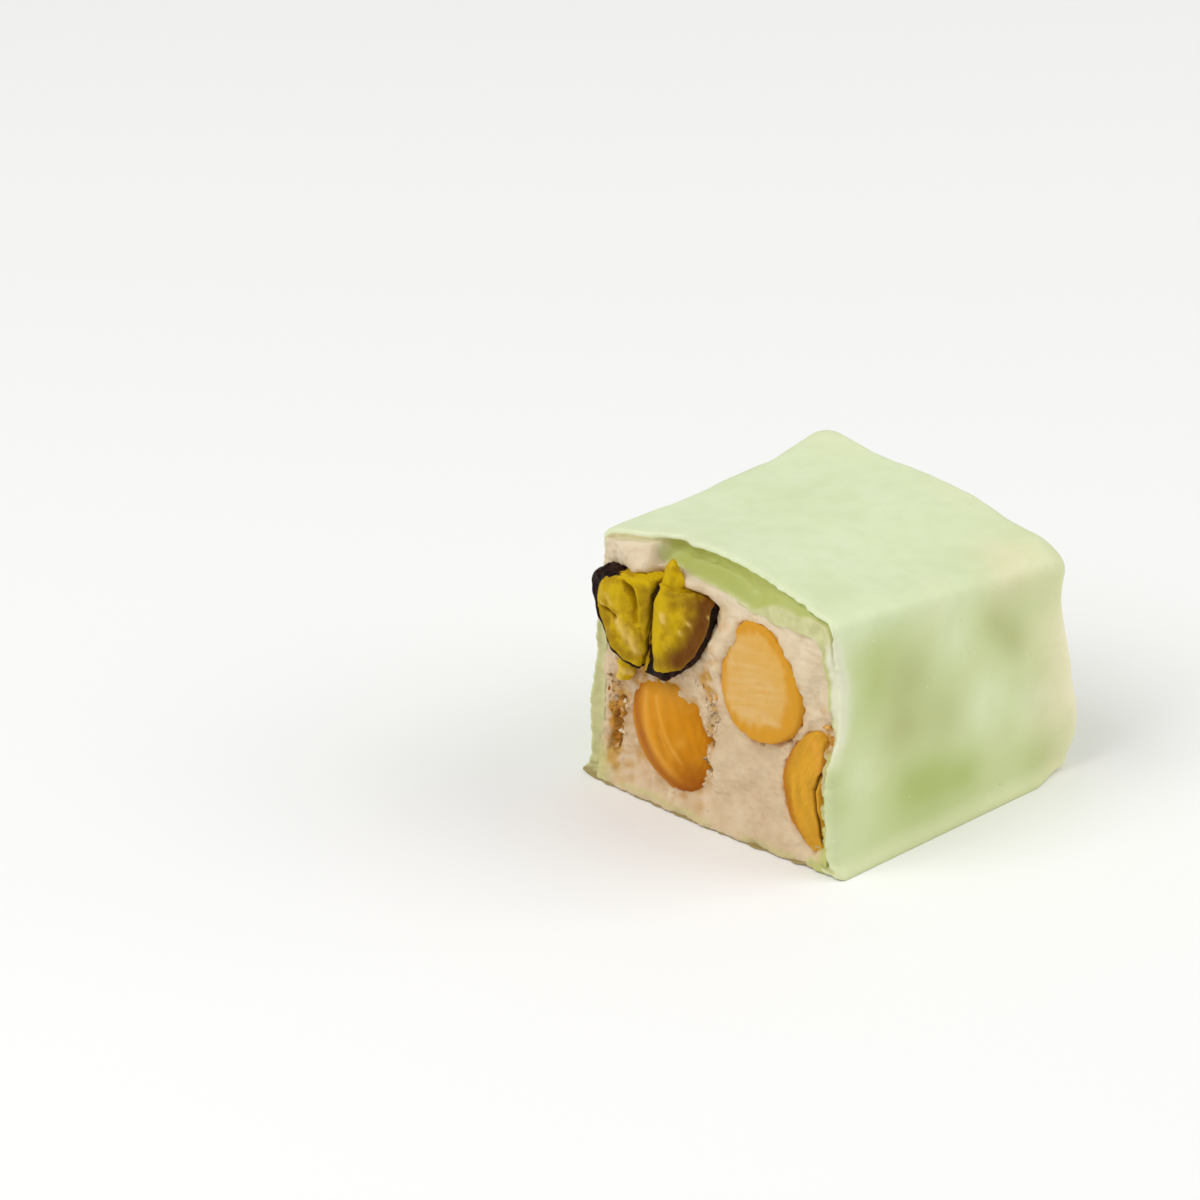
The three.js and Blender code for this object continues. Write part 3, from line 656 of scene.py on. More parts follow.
def kernel_distance(x, y, z):
    """The broken pistachio kernel before it split, with its worn top."""
    top = beyond(x, y, z, (-11.0, 4.5, 16.15), (0.06, 0.03, 1))
    outer = beyond(x, y, z, (-12.0, 9.1, 15.8), (0, 0.8, 0.6))
    inner = beyond(x, y, z, (-12.0, 0.4, 15.9), (0, -0.5, 0.85))
    worn = rounded_max(rounded_max(top, outer, 0.4), inner, 0.4)
    return rounded_max(KERNEL.distance(x, y, z), worn, 0.3)


def half_distance(x, y, z, whole, side, edge_radius, ridge):
    """One side of the split kernel, whose broken face slopes two ways from a point of its ridge."""
    split = SPLIT_HALF_WIDTH + side * beyond(x, y, z, SPLIT_POINT, SPLIT_NORMAL)
    point, *slopes = ridge
    broken = rounded_max(*(beyond(x, y, z, point, slope) for slope in slopes), 0.2)
    return rounded_max(rounded_max(whole, split, edge_radius), broken, 0.2)


def pistachio_left_distance(x, y, z):
    return half_distance(x, y, z, kernel_distance(x, y, z), -1, 0.2, LEFT_RIDGE)


def pistachio_right_distance(x, y, z):
    whole = np.minimum(kernel_distance(x, y, z), SPIKE.distance(x, y, z))
    return half_distance(x, y, z, whole, 1, 0.15, RIGHT_RIDGE)


def almond_upper_distance(x, y, z):
    return rounded_max(ALMOND_UPPER.distance(x, y, z), beyond(x, y, z, *UPPER_CUT), 0.15)


def almond_edge_distance(x, y, z):
    return rounded_max(ALMOND_EDGE.distance(x, y, z), beyond(x, y, z, *EDGE_CUT), 0.2)


class Nut:
    """The fine skin of a nut, looked for from the middle of an egg that lies inside it."""

    def __init__(self, distance, egg, rings, sides, middle=None):
        directions = egg.directions(rings, sides)
        starts = np.tile(egg.centre if middle is None else middle, (len(directions), 1))
        self.points = march(distance, starts, directions, reach=3.0)
        self.faces = loft_faces(rings - 1, sides)
        self.normals = self.find_normals(distance)

    def find_normals(self, distance, step=0.03):
        """The directions in which the nut's distance grows fastest."""
        slopes = []
        for offset in np.eye(3) * step:
            slopes.append(distance(*(self.points + offset).T) - distance(*(self.points - offset).T))
        normals = np.column_stack(slopes)
        return normals / np.maximum(np.linalg.norm(normals, axis=1), 1e-9)[:, None]

    def lift(self, height):
        self.points = self.points + self.normals * height[:, None]

    def piece(self, name, slot, node, material, marks):
        made = make_piece(name, self.points, self.faces, marks)
        return dress(made, node, material)


def along_grain(egg, points, stretch):
    """Points squeezed along a nut's long axis, so that ripples on them become lengthwise ridges."""
    along, across, deep = egg.local(*points.T)
    return np.column_stack([along * egg.halves[0] / stretch, across, deep])


# The pistachio's broken faces, as lines of y and z with a width and a strength: where its dark skin shows,
# with painted shade in the split between the halves; brown painted shade in its grooves and on facets
# turned from the lamp;
# where the flesh is olive, partly painted shade; painted light on the facets facing the lamp; the painted
# highlight on its ridge and its painted glints; and its cuts.
SKIN_AND_SPLIT_SHADE = [
    ([(9.3, 13.9), (9.2, 14.8), (8.9, 15.5), (8.2, 16.2), (7.7, 16.4)], 0.38, 1.8),
    ([(7.7, 16.4), (6.8, 16.5)], 0.24, 1.4),
    ([(9.2, 13.8), (8.9, 12.9), (8.2, 11.5), (7.1, 10.1), (5.8, 9.5)], 0.17, 1.4),
    ([(4.1, 16.0), (4.45, 15.2)], 0.2, 1.4),
    ([(4.45, 15.2), (4.75, 13.0), (4.9, 11.5)], 0.1, 1.0),
    ([(4.95, 11.3), (5.0, 9.6)], 0.24, 1.6),
    ([(-0.5, 16.6), (-0.4, 15.7), (0.0, 14.4), (0.6, 13.1), (1.35, 11.7), (2.4, 10.5)], 0.13, 1.2),
    ([(2.4, 10.2), (3.7, 9.7), (5.1, 9.5)], 0.26, 1.8),
]
BROWN_SHADE = [
    ([(0.3, 16.2), (0.6, 14.9), (1.1, 13.4), (1.8, 12.0), (2.8, 11.0)], 0.85, 1.1),
    ([(2.6, 15.2), (1.4, 15.6)], 0.35, 0.4),
    ([(6.3, 15.9), (5.9, 15.4), (5.75, 14.9), (5.75, 14.1)], 0.16, 1.0),
    ([(8.5, 13.45), (7.9, 13.35), (7.3, 13.1)], 0.14, 0.9),
    ([(4.6, 15.2), (4.8, 13.6), (5.0, 12.0), (5.05, 10.4)], 0.22, 0.6),
]
OLIVE = [
    ([(8.6, 13.1), (8.1, 12.3), (7.4, 11.3), (6.6, 10.5)], 0.45, 0.7),
    ([(4.9, 15.4), (5.1, 13.6), (5.3, 12.0), (5.3, 10.4)], 0.45, 0.6),
    ([(4.4, 10.5), (3.3, 10.7), (2.4, 11.6)], 0.6, 0.8),
    ([(2.9, 16.0), (1.6, 16.2), (0.6, 16.3)], 0.4, 0.6),
]
LIT_FACETS = [
    ([(8.0, 14.8), (7.0, 15.2), (6.7, 14.4)], 0.55, 0.8),
    ([(6.0, 16.2), (5.0, 16.2)], 0.4, 1.0),
    ([(5.55, 15.5), (5.5, 13.4)], 0.2, 1.0),
    ([(3.4, 17.0), (3.7, 15.6), (4.1, 14.1), (4.35, 12.2), (4.2, 11.2)], 0.5, 1.0),
    ([(2.8, 14.4), (2.9, 12.0)], 0.6, 0.5),
]
RIDGE_HIGHLIGHT = [([(7.0, 12.9), (6.6, 12.4), (6.2, 11.7), (5.95, 11.0)], 0.3, 0.8)]
GLINTS = [
    ([(3.63, 14.25), (3.6, 13.8)], 0.2, 1.0),
    ([(2.33, 13.4), (2.33, 13.2)], 0.12, 0.7),
    ([(1.75, 14.15), (1.7, 14.0)], 0.14, 0.8),
    ([(0.25, 14.95), (0.1, 14.75)], 0.12, 0.8),
    ([(8.45, 13.75), (8.3, 13.65)], 0.12, 0.8),
    ([(7.9, 14.6), (7.5, 14.0)], 0.2, 0.4),
]
CUTS = [
    ([(6.3, 15.9), (5.9, 15.4), (5.75, 14.9), (5.75, 14.1), (5.8, 13.0)], 0.16, 0.35),
    ([(8.5, 13.4), (7.9, 13.3), (7.3, 13.05)], 0.13, 0.3),
    ([(5.55, 12.6), (5.35, 11.4), (5.2, 10.3)], 0.12, 0.15),
]


def pistachio_piece(name, node, distance, middle, seed):
    egg = Egg(middle, KERNEL.long, KERNEL.thin, SEARCH_SIZE, 0.0)
    nut = Nut(distance, egg, rings=170, sides=220)
    in_front = smoothstep(-nut.points[:, 0], 11.1, 11.8)
    grain = along_grain(KERNEL, nut.points, 3.0)
    ridges = 0.05 * ripples(grain, 1.1, seed) + 0.03 * ripples(grain, 0.45, seed + 1)
    heights = ((RIDGE_HIGHLIGHT, 0.22), (LIT_FACETS, 0.1), (GLINTS, 0.08), (BROWN_SHADE, -0.15), (CUTS, -1))
    raised = sum(height * lined(nut.points, lines) for (lines, height) in heights)
    nut.lift(ridges + raised * in_front)
    outer_skin = smoothstep(KERNEL.distance(*nut.points.T), -0.26, -0.1)
    return nut.piece(name, "pistachio", node, pistachio_material(), {
        # Painted light and shade on the broken faces: light on the facets facing the lamp, brown shade in
        # grooves and on facets turned away, olive partly painted shade, glints as painted highlights, and
        # shade in the split with the dark skin.
        "skin": np.maximum(outer_skin, lined(nut.points, SKIN_AND_SPLIT_SHADE)),
        "brown_shade": lined(nut.points, BROWN_SHADE),
        "olive": lined(nut.points, OLIVE),
        "bright": lined(nut.points, LIT_FACETS),
        "glint": clamp(lined(nut.points, RIDGE_HIGHLIGHT) + lined(nut.points, GLINTS)) * in_front,
    })


def chip_piece():
    nut = Nut(CHIP.distance, CHIP, rings=50, sides=60)
    nut.lift(0.06 * ripples(nut.points, 0.9, 41) - 0.08)
    return nut.piece("pistachio_scrap", "pistachio", "pistachio_chip", pistachio_material(), {
        "bright": np.full(len(nut.points), 0.6),
        "glint": clamp(0.3 + 0.3 * ripples(nut.points, 0.9, 42)),
    })


ALMOND_STREAKS = [
    ([(6.0, 7.6), (5.4, 5.6), (4.6, 4.3), (3.2, 3.0)], 0.34, 0.8),
    ([(5.0, 7.7), (4.2, 6.4), (3.2, 4.8), (2.4, 3.9)], 0.14, 0.8),
    ([(4.1, 5.6), (3.5, 4.6), (3.0, 4.0)], 0.2, 0.3),
]
ALMOND_LOWER_SIDE = [(7.2, 8.9), (7.1, 6.8), (6.2, 4.9), (4.9, 3.1), (3.2, 1.9), (1.8, 1.5)]
ALMOND_LOWER_TIP = [(1.9, 2.9, 0.6, 1.3), (1.2, 2.2, 0.5, 0.8)]
ALMOND_LOWER_PALE = [(4.4, 8.6, 0.5, 1.5), (2.65, 5.2, 0.6, 0.35), (3.1, 4.5, 0.4, 0.3)]


def almond_lower_piece():
    nut = Nut(ALMOND_LOWER.distance, ALMOND_LOWER, rings=170, sides=170)
    grain = along_grain(ALMOND_LOWER, nut.points, 6.0)
    streaks = lined(nut.points, ALMOND_STREAKS)
    nut.lift(0.02 * ripples(grain, 1.1, 51) + 0.014 * ripples(grain, 0.3, 52) + 0.05 * streaks)
    side = drawn(nut.points, ALMOND_LOWER_SIDE, 0.5)
    material = almond_material("almond", srgb(210, 136, 14))
    return nut.piece("almond_whole", "almond", "almond_lower", material, {
        "pale": clamp(streaks + painted(nut.points, ALMOND_LOWER_PALE)),
        "brown": clamp(0.8 * side + painted(nut.points, ALMOND_LOWER_TIP)),
        "streak": ripples(grain, 0.8, 53),
    })


THICK_RIM_TOWARDS = (-0.85, -0.5)  # y and z of the side where the cut almond's rim is thick


def almond_upper_piece():
    nut = Nut(almond_upper_distance, ALMOND_UPPER, rings=170, sides=170)
    x, y, z = nut.points.T
    across = np.column_stack([x, y / 6, z + y / 4])
    nut.lift(0.02 * ripples(nut.points, 1.2, 61) + 0.004 * ripples(across, 0.35, 62))
    x, y, z = nut.points.T
    from_middle = nut.points[:, 1:] - ALMOND_UPPER.centre[1:]
    thick = smoothstep(from_middle @ np.array(THICK_RIM_TOWARDS), -0.5, 3.0)
    rim_width = lerp(0.55, 1.15, thick) + 0.12 * ripples(nut.points, 0.9, 64)
    return nut.piece("almond_cut", "cut_almond", "almond_upper", cut_almond_material(), {
        "rim": 1 - smoothstep(-ALMOND_UPPER.distance(x, y, z), rim_width * 0.45, rim_width),
        "streak": ripples(across, 0.6, 63),
        "upper": smoothstep(z - 0.5 * y, 13.5, 16.5),
    })


# The crack down the crescent almond and its pale streak, as y and z on its cut face.
CRACK = [(-9.9, 7.6), (-9.0, 6.5), (-8.65, 5.5), (-8.8, 4.1), (-9.1, 3.3), (-9.2, 2.4), (-9.6, 1.4)]
CRESCENT_PALE = [(-8.5, 8.8), (-9.0, 8.1), (-9.0, 7.0)]
CRESCENT_SIDE = [(-7.4, 9.2), (-6.7, 8.0), (-6.3, 6.6), (-6.2, 5.5), (-6.5, 4.2), (-7.2, 2.6), (-8.0, 1.2)]


def almond_edge_piece():
    middle = ALMOND_EDGE.centre + (0, -0.1, 0)
    nut = Nut(almond_edge_distance, ALMOND_EDGE, rings=230, sides=180, middle=middle)
    grain = along_grain(ALMOND_EDGE, nut.points, 4.0)
    crack = drawn(nut.points, CRACK, 0.1) * smoothstep(-nut.points[:, 0], 10.3, 10.9)
    nut.lift(0.025 * ripples(grain, 0.8, 71) + 0.012 * ripples(nut.points, 0.4, 72) - 0.35 * crack)
    material = almond_material("almond_crescent", srgb(219, 162, 44))
    return nut.piece("almond_crescent", "almond", "almond_edge", material, {
        "pale": drawn(nut.points, CRESCENT_PALE, 0.4),
        "brown": 0.7 * drawn(nut.points, CRESCENT_SIDE, 0.35),
        "crack": crack,
        "streak": ripples(grain, 0.8, 73),
    })


def sliver_piece():
    nut = Nut(SLIVER.distance, SLIVER, rings=90, sides=60)
    nut.lift(0.09 * ripples(nut.points, 1.0, 81) + 0.04 * ripples(nut.points, 0.4, 82))
    x, y, z = nut.points.T
    nut.points[:, 0] = np.maximum(x, nougat_face(y, z) - 0.1 + 0.06 * ripples(nut.points, 0.5, 87))
    material = almond_material("almond_sliver", srgb(200, 148, 70))
    return nut.piece("almond_skin_sliver", "almond", "almond_sliver", material, {
        "pale": clamp(0.3 * ripples(nut.points, 0.8, 85)),
        "brown": clamp(0.4 * ripples(nut.points, 0.9, 84)),
        "crack": clamp(0.2 * ripples(nut.points, 0.6, 86)),
        "streak": ripples(nut.points, 0.7, 83),
    })


# ---- the nougat

FACE_COLUMNS = 250
FACE_ROWS = 200
NOUGAT_OVERLAP = 0.12  # it reaches this far into the coating, so that no gap shows
NOUGAT_FLOOR = 0.14  # its lower edge, at the break
NOUGAT_END = 9.2
NOUGAT_RINGS = (0.01, 0.04, 0.1, 0.2, 0.35, 0.5, 0.65, 0.8, 0.9, 1.0)  # as shares of its length

# How the nougat meets each nut: its distance, the height and width of the lip round it, and the
# strength and reach of its oily stain.
SETTINGS = [
    (almond_upper_distance, 0.12, 0.4, 0.3, 0.3),
    (ALMOND_LOWER.distance, -0.2, 0.35, 0.35, 0.3),
    (almond_edge_distance, 0.15, 0.35, 0.3, 0.25),
    (pistachio_left_distance, 0.1, 0.35, 0.3, 0.4),
    (pistachio_right_distance, 0.15, 0.45, 0.4, 0.6),
    (SLIVER.distance, 0.1, 0.3, 0.5, 0.3),
    (CHIP.distance, 0.1, 0.3, 0.0, 0.3),
]
# Lumps and hollows of the broken nougat: y, z, height towards the front and spread.
LUMPS = [
    (7.4, 16.7, 0.9, 1.3), (6.2, 16.2, 0.9, 0.9), (1.9, 16.9, 0.9, 1.0), (0.2, 16.4, 0.4, 0.7),
    (-0.9, 14.2, 0.7, 0.7), (-0.2, 12.7, 0.6, 0.7), (0.0, 11.3, 0.5, 0.5),
    (-1.2, 5.0, 0.35, 2.4), (0.25, 7.5, -0.45, 0.5), (0.6, 5.7, -0.5, 0.45), (0.8, 3.8, -0.4, 0.4),
    (7.9, 4.5, -0.2, 2.0), (8.6, 7.0, -0.3, 0.8), (9.1, 3.2, -0.3, 0.5), (6.9, 3.1, -0.2, 0.4),
    (-6.9, 12.4, 0.1, 1.5), (-4.2, 2.6, 0.2, 1.6), (-8.6, 10.6, 0.25, 0.7),
    (-6.3, 9.85, 0.35, 0.4),
]
LEFT_LIP = [(7.4, 6.3), (6.9, 4.9), (5.9, 3.7), (4.8, 2.2), (3.8, 1.4)]  # a raised edge of nougat
# Where the nougat lies over a nut instead of round it: y, z, strength and spread.
COVERS = [
    (-1.1, 14.0, 1.0, 0.6), (-0.9, 13.0, 0.9, 0.4), (-1.6, 15.3, 0.9, 0.5), (-6.3, 9.85, 1.0, 0.35),
]
CRUMBLED = [(1.6, 9.6), (0.5, 8.5), (0.2, 7.1), (0.8, 5.8), (1.3, 5.0), (0.8, 3.0)]  # a crumbly seam
CRUMBLED_LEFT = [(9.2, 7.7), (9.0, 5.6), (8.9, 4.2), (9.1, 2.8)]


def nougat_face(y, z):
    """How far along X the broken face of the nougat lies."""
    shape = y.shape
    y, z = y.ravel(), z.ravel()
    flat = np.column_stack([np.zeros(len(y)), y, z])
    flush = 0.18 * np.maximum(1 - smoothstep(z, 0.3, 1.2), smoothstep(y, 8.4, 9.4))
    x = BROKEN_FACE + inner_break(y, z) + 0.1 - flush - base_lip(y, z)
    x = x - 0.2 * drawn(flat, LEFT_LIP, 0.28)
    x = x - painted(flat, LUMPS)
    rough = 1 + 1.6 * drawn(flat, CRUMBLED, 0.45)
    waves = 0.06 * ripples(flat, 2.6, 91) + 0.025 * ripples(flat, 1.0, 92)
    x = x + waves + rough * (0.016 * ripples(flat, 0.5, 93) + 0.01 * ripples(flat, 0.26, 94))
    open_pocket = 1 - clamp(painted(flat, COVERS))
    torn = 0.1 * ripples(flat, 1.1, 97) + 0.05 * ripples(flat, 0.45, 98)
    for (distance, lip, width, *_) in SETTINGS:
        away = distance(x, y, z) + torn
        x = x - lip * bell(away - 0.2, width) * smoothstep(away, -0.15, 0.1)
        x = x + 0.5 * smoothstep(-away, 0.0, 0.35) * open_pocket
    return x.reshape(shape)


def nougat_place(across, up, x):
    """y and z of a place in the bar's section at x, for shares of its width and height."""
    z = lerp(NOUGAT_FLOOR, HEIGHT - TOP_COAT, up)
    for _ in range(3):
        front = front_half_width(z) - front_coat(x, z) + NOUGAT_OVERLAP
        back = back_half_width(z) - back_coat(z) + NOUGAT_OVERLAP
        y = lerp(-front, back, across)
        z = lerp(NOUGAT_FLOOR, top_height(x, y) - top_coat(y) + NOUGAT_OVERLAP, up)
    return y, z


# Oily stains of the nuts in the nougat: y, z, strength and spread; and smears of coating on it:
# lines of y and z with a width and a strength.
STAINS = [
    (9.2, 7.8, 0.4, 0.3), (9.2, 6.9, 0.7, 0.4), (8.9, 5.4, 0.9, 0.45), (8.85, 4.5, 0.9, 0.4),
    (9.2, 3.3, 0.7, 0.4), (8.3, 6.4, 0.2, 0.5), (9.4, 2.0, 0.3, 0.6), (7.1, 2.8, 0.4, 0.4),
    (8.0, 1.6, 0.5, 1.4), (7.3, 8.0, 1.0, 0.4), (6.9, 8.7, 1.0, 0.5), (6.2, 9.2, 1.0, 0.5),
    (1.4, 9.9, 0.9, 0.5), (0.7, 10.4, 0.7, 0.6), (0.1, 9.1, 0.7, 0.4), (0.2, 8.3, 0.6, 0.4),
    (0.8, 9.4, 0.6, 0.4), (0.6, 7.0, 0.4, 0.4), (0.8, 5.2, 0.4, 0.5), (0.6, 3.8, 0.4, 0.4),
    (1.2, 1.2, 0.3, 0.8), (3.0, 1.0, 0.3, 0.6), (-0.4, 14.7, 0.4, 0.7), (-0.2, 12.6, 0.4, 0.6),
    (0.2, 11.7, 0.4, 0.5), (-8.9, 10.8, 0.5, 0.4), (-9.2, 9.3, 1.0, 0.35), (-9.6, 9.0, 0.9, 0.3),
    (-9.5, 8.5, 0.7, 0.3),
]
SMEARS = [
    ([(-9.9, 7.8), (-9.7, 5.0), (-9.6, 2.5), (-9.9, 0.4)], 0.55, 1.2),
    ([(-8.6, 0.5), (-9.8, 0.3)], 0.35, 1.0),
    ([(10.4, 2.0), (9.9, 0.6)], 0.9, 0.7),
    ([(8.0, 0.5), (6.0, 0.6), (4.0, 0.5), (2.0, 0.5), (0.0, 0.4)], 0.22, 0.45),
    ([(-3.0, 0.4), (-7.0, 0.35)], 0.25, 0.45),
]


def nougat_marks(points, face_count):
    """Where the nougat is stained, pale, smeared green, crumbled (with painted shade in its crevices) or
    drawn into fibres.
    """
    _, y, z = points.T
    stain = painted(points, STAINS) + 0.25 * drawn(points, CRUMBLED, 0.5)
    for (distance, *_, strength, reach) in SETTINGS:
        stain += strength * bell(np.maximum(distance(*points.T), 0), reach)
    stain = clamp(stain * (0.75 + 0.4 * ripples(points, 0.9, 95)))
    stain[face_count:] = 0  # none behind the broken face
    pale = smoothstep(z, 8.5, 12.0) + drawn(points, LEFT_LIP, 0.4)
    return {
        "stain": stain,
        "pale": clamp(pale + 0.15 * ripples(points, 2.0, 96)),
        "green": lined(points, SMEARS),
        "crumbled": clamp(drawn(points, CRUMBLED, 0.4) + drawn(points, CRUMBLED_LEFT, 0.4)),
        "fibres": smoothstep(z, 9.0, 11.0) * smoothstep(-y, 5.5, 7.5),
    }


def nougat_piece():
    across, up = np.meshgrid(np.linspace(0, 1, FACE_COLUMNS), np.linspace(0, 1, FACE_ROWS))
    y, z = nougat_place(across, up, BROKEN_FACE)
    face = np.stack([nougat_face(y, z), y, z], axis=-1).reshape(-1, 3)
    number = np.arange(len(face)).reshape(across.shape)
    corners = (number[:-1, :-1], number[:-1, 1:], number[1:, 1:], number[1:, :-1])
    faces = np.stack(corners, axis=-1).reshape(-1, 4).tolist()
    border = np.concatenate([number[0, :-1], number[:-1, -1], number[-1, :0:-1], number[:0:-1, 0]])
    points, ring = face, border
    for share in NOUGAT_RINGS:
        x = lerp(face[border, 0], NOUGAT_END, share)
        y, z = nougat_place(across.ravel()[border], up.ravel()[border], x)
        following = len(points) + np.arange(len(border))
        strip = [ring, following, np.roll(following, -1), np.roll(ring, -1)]
        faces += np.column_stack(strip).tolist()
        points = np.concatenate([points, np.column_stack([x, y, z])])
        ring = following
    faces += [(a, len(points), b) for a, b in zip(ring.tolist(), np.roll(ring, -1).tolist())]
    points = np.concatenate([points, [[NOUGAT_END, *MIDDLE]]])
    piece = make_piece("nougat_filling", points, faces, nougat_marks(points, len(face)))
    return dress(piece, "nougat", nougat_material())


# ---- crumbs

LOWEST_CRUMB = 0.6
# Crumbs that lie on the broken face: from and to, as y and z, spread, how many, and their size.
ALMOND_CRUMBS = [
    ((1.2, 9.7), (0.4, 9.0), 0.2, 3, 0.45),
    ((-9.3, 9.9), (-9.9, 9.2), 0.15, 6, 0.55),
]
SKIN_CRUMBS = [
    ((9.1, 7.0), (8.8, 4.0), 0.2, 4, 0.4),
    ((0.7, 8.4), (0.7, 3.4), 0.15, 5, 0.22),
    ((9.2, 7.85), (9.2, 7.75), 0.05, 2, 0.26),
]
NOUGAT_CRUMBS = [
    ((8.6, 6.6), (8.0, 3.4), 0.3, 4, 0.5),
    ((1.0, 8.8), (0.4, 4.0), 0.3, 6, 0.5),
    ((8.0, 1.0), (-7.0, 1.0), 0.4, 10, 0.18),
]


def crumb_form():
    ball = bmesh.new()
    bmesh.ops.create_icosphere(ball, subdivisions=2, radius=1.0)
    points = np.array([vertex.co[:] for vertex in ball.verts])
    faces = [[vertex.index for vertex in face.verts] for face in ball.faces]
    ball.free()
    return points, faces


def crumbs_piece(name, trails, dark, light, seed):
    draw = np.random.default_rng(seed)
    form, form_faces = crumb_form()
    points, faces = [], []
    for (start, end, spread, count, size) in trails:
        for _ in range(count):
            y, z = lerp(np.array(start), np.array(end), draw.uniform()) + draw.normal(size=2) * spread
            z = max(z, LOWEST_CRUMB)
            half = size * draw.uniform(0.35, 1.0) / 2
            stretch = half * draw.uniform(0.6, 1.4, size=3)
            lumpy = 1 + 0.22 * ripples(form + draw.uniform(0, 50), 1.6, seed)
            x = nougat_face(np.array([y]), np.array([z]))[0]
            faces += [[corner + len(form) * len(points) for corner in face] for face in form_faces]
            points.append(form * lumpy[:, None] * stretch + (x, y, z))
    piece = make_piece(name, np.concatenate(points), faces)
    return dress(piece, None, crumb_material(name, dark, light))


# ---- materials


def srgb(red, green, blue):
    """A linear colour from the 0 to 255 values of an sRGB one."""
    shares = np.array([red, green, blue]) / 255
    linear = np.where(shares <= 0.04045, shares / 12.92, ((shares + 0.055) / 1.055) ** 2.4)
    return (*linear.tolist(), 1.0)


class Shader:
    """A material being made: each method adds a node and gives back its output."""

    def __init__(self, name):
        self.material = bpy.data.materials.new(name)
        self.material.use_nodes = True
        self.tree = self.material.node_tree
        self.surface = self.tree.nodes["Principled BSDF"]
        self.place = self.add("ShaderNodeTexCoord").outputs["Object"]

    def feed(self, socket, value):
        if isinstance(value, bpy.types.NodeSocket):
            self.tree.links.new(value, socket)
        else:
            socket.default_value = value

    def add(self, kind, inputs=None, **settings):
        made = self.tree.nodes.new(kind)
        for name, value in settings.items():
            setattr(made, name, value)
        for name, value in (inputs or {}).items():
            self.feed(made.inputs[name], value)
        return made

    def mark(self, name):
        return self.add("ShaderNodeAttribute", attribute_name=name).outputs["Fac"]

    def noise(self, size, detail=3.0, place=None):
        """Noise whose blotches are about size millimetres across."""
        inputs = {"Vector": place or self.place, "Scale": 1 / (size * MM), "Detail": detail}
        return self.add("ShaderNodeTexNoise", inputs).outputs["Fac"]

    def specks(self, size, share):
        """1 on round specks, one to each cell of about size millimetres, and 0 elsewhere."""
        cells = self.add("ShaderNodeTexVoronoi", {"Vector": self.place, "Scale": 1 / (size * MM)})
        return self.ramp(cells.outputs["Distance"], share, share * 0.4)

    def ramp(self, value, low, high):
        inputs = {"Value": value, "From Min": low, "From Max": high}
        return self.add("ShaderNodeMapRange", inputs, interpolation_type="SMOOTHSTEP").outputs["Result"]

    def times(self, first, second):
        return self.add("ShaderNodeMath", {0: first, 1: second}, operation="MULTIPLY").outputs[0]

    def torn(self, mark, size):
        """A mark on the mesh with its edge torn by noise."""
        parts = {0: self.mark(mark), 1: self.noise(size, 4.0)}
        return self.ramp(self.add("ShaderNodeMath", parts, operation="ADD").outputs[0], 0.92, 1.12)

    def mix(self, share, first, second):
        return self.add("ShaderNodeMix", {0: share, 6: first, 7: second}, data_type="RGBA").outputs[2]

    def blotches(self, first, second, size, detail=3.0, low=0.35, high=0.65):
        """Two colours in blotches about size millimetres across."""
        return self.mix(self.ramp(self.noise(size, detail), low, high), first, second)

    def layered(self, colour, *layers):
        """A colour with others over it: where each lies, how strongly, and its own colour."""
        for (where, strength, over) in layers:
            where = self.mark(where) if isinstance(where, str) else where
            colour = self.mix(self.times(where, strength), colour, over)
        return colour

    def bump(self, height, depth, onto=None):
        """Relief of a depth in millimetres, over other relief if that is given."""
        inputs = {"Height": height, "Distance": depth * MM, "Strength": 1.0}
        if onto:
            inputs["Normal"] = onto
        return self.add("ShaderNodeBump", inputs).outputs["Normal"]

    def done(self, scatter=None, **sockets):
        """The finished material; scatter is how much light enters it, its colour and reach."""
        if scatter:
            weight, tint, reach = scatter
            sockets.update(Subsurface_Weight=weight, Subsurface_Radius=tint, Subsurface_Scale=reach * MM)
        for name, value in sockets.items():
            self.feed(self.surface.inputs[name.replace("_", " ")], value)
        return self.material


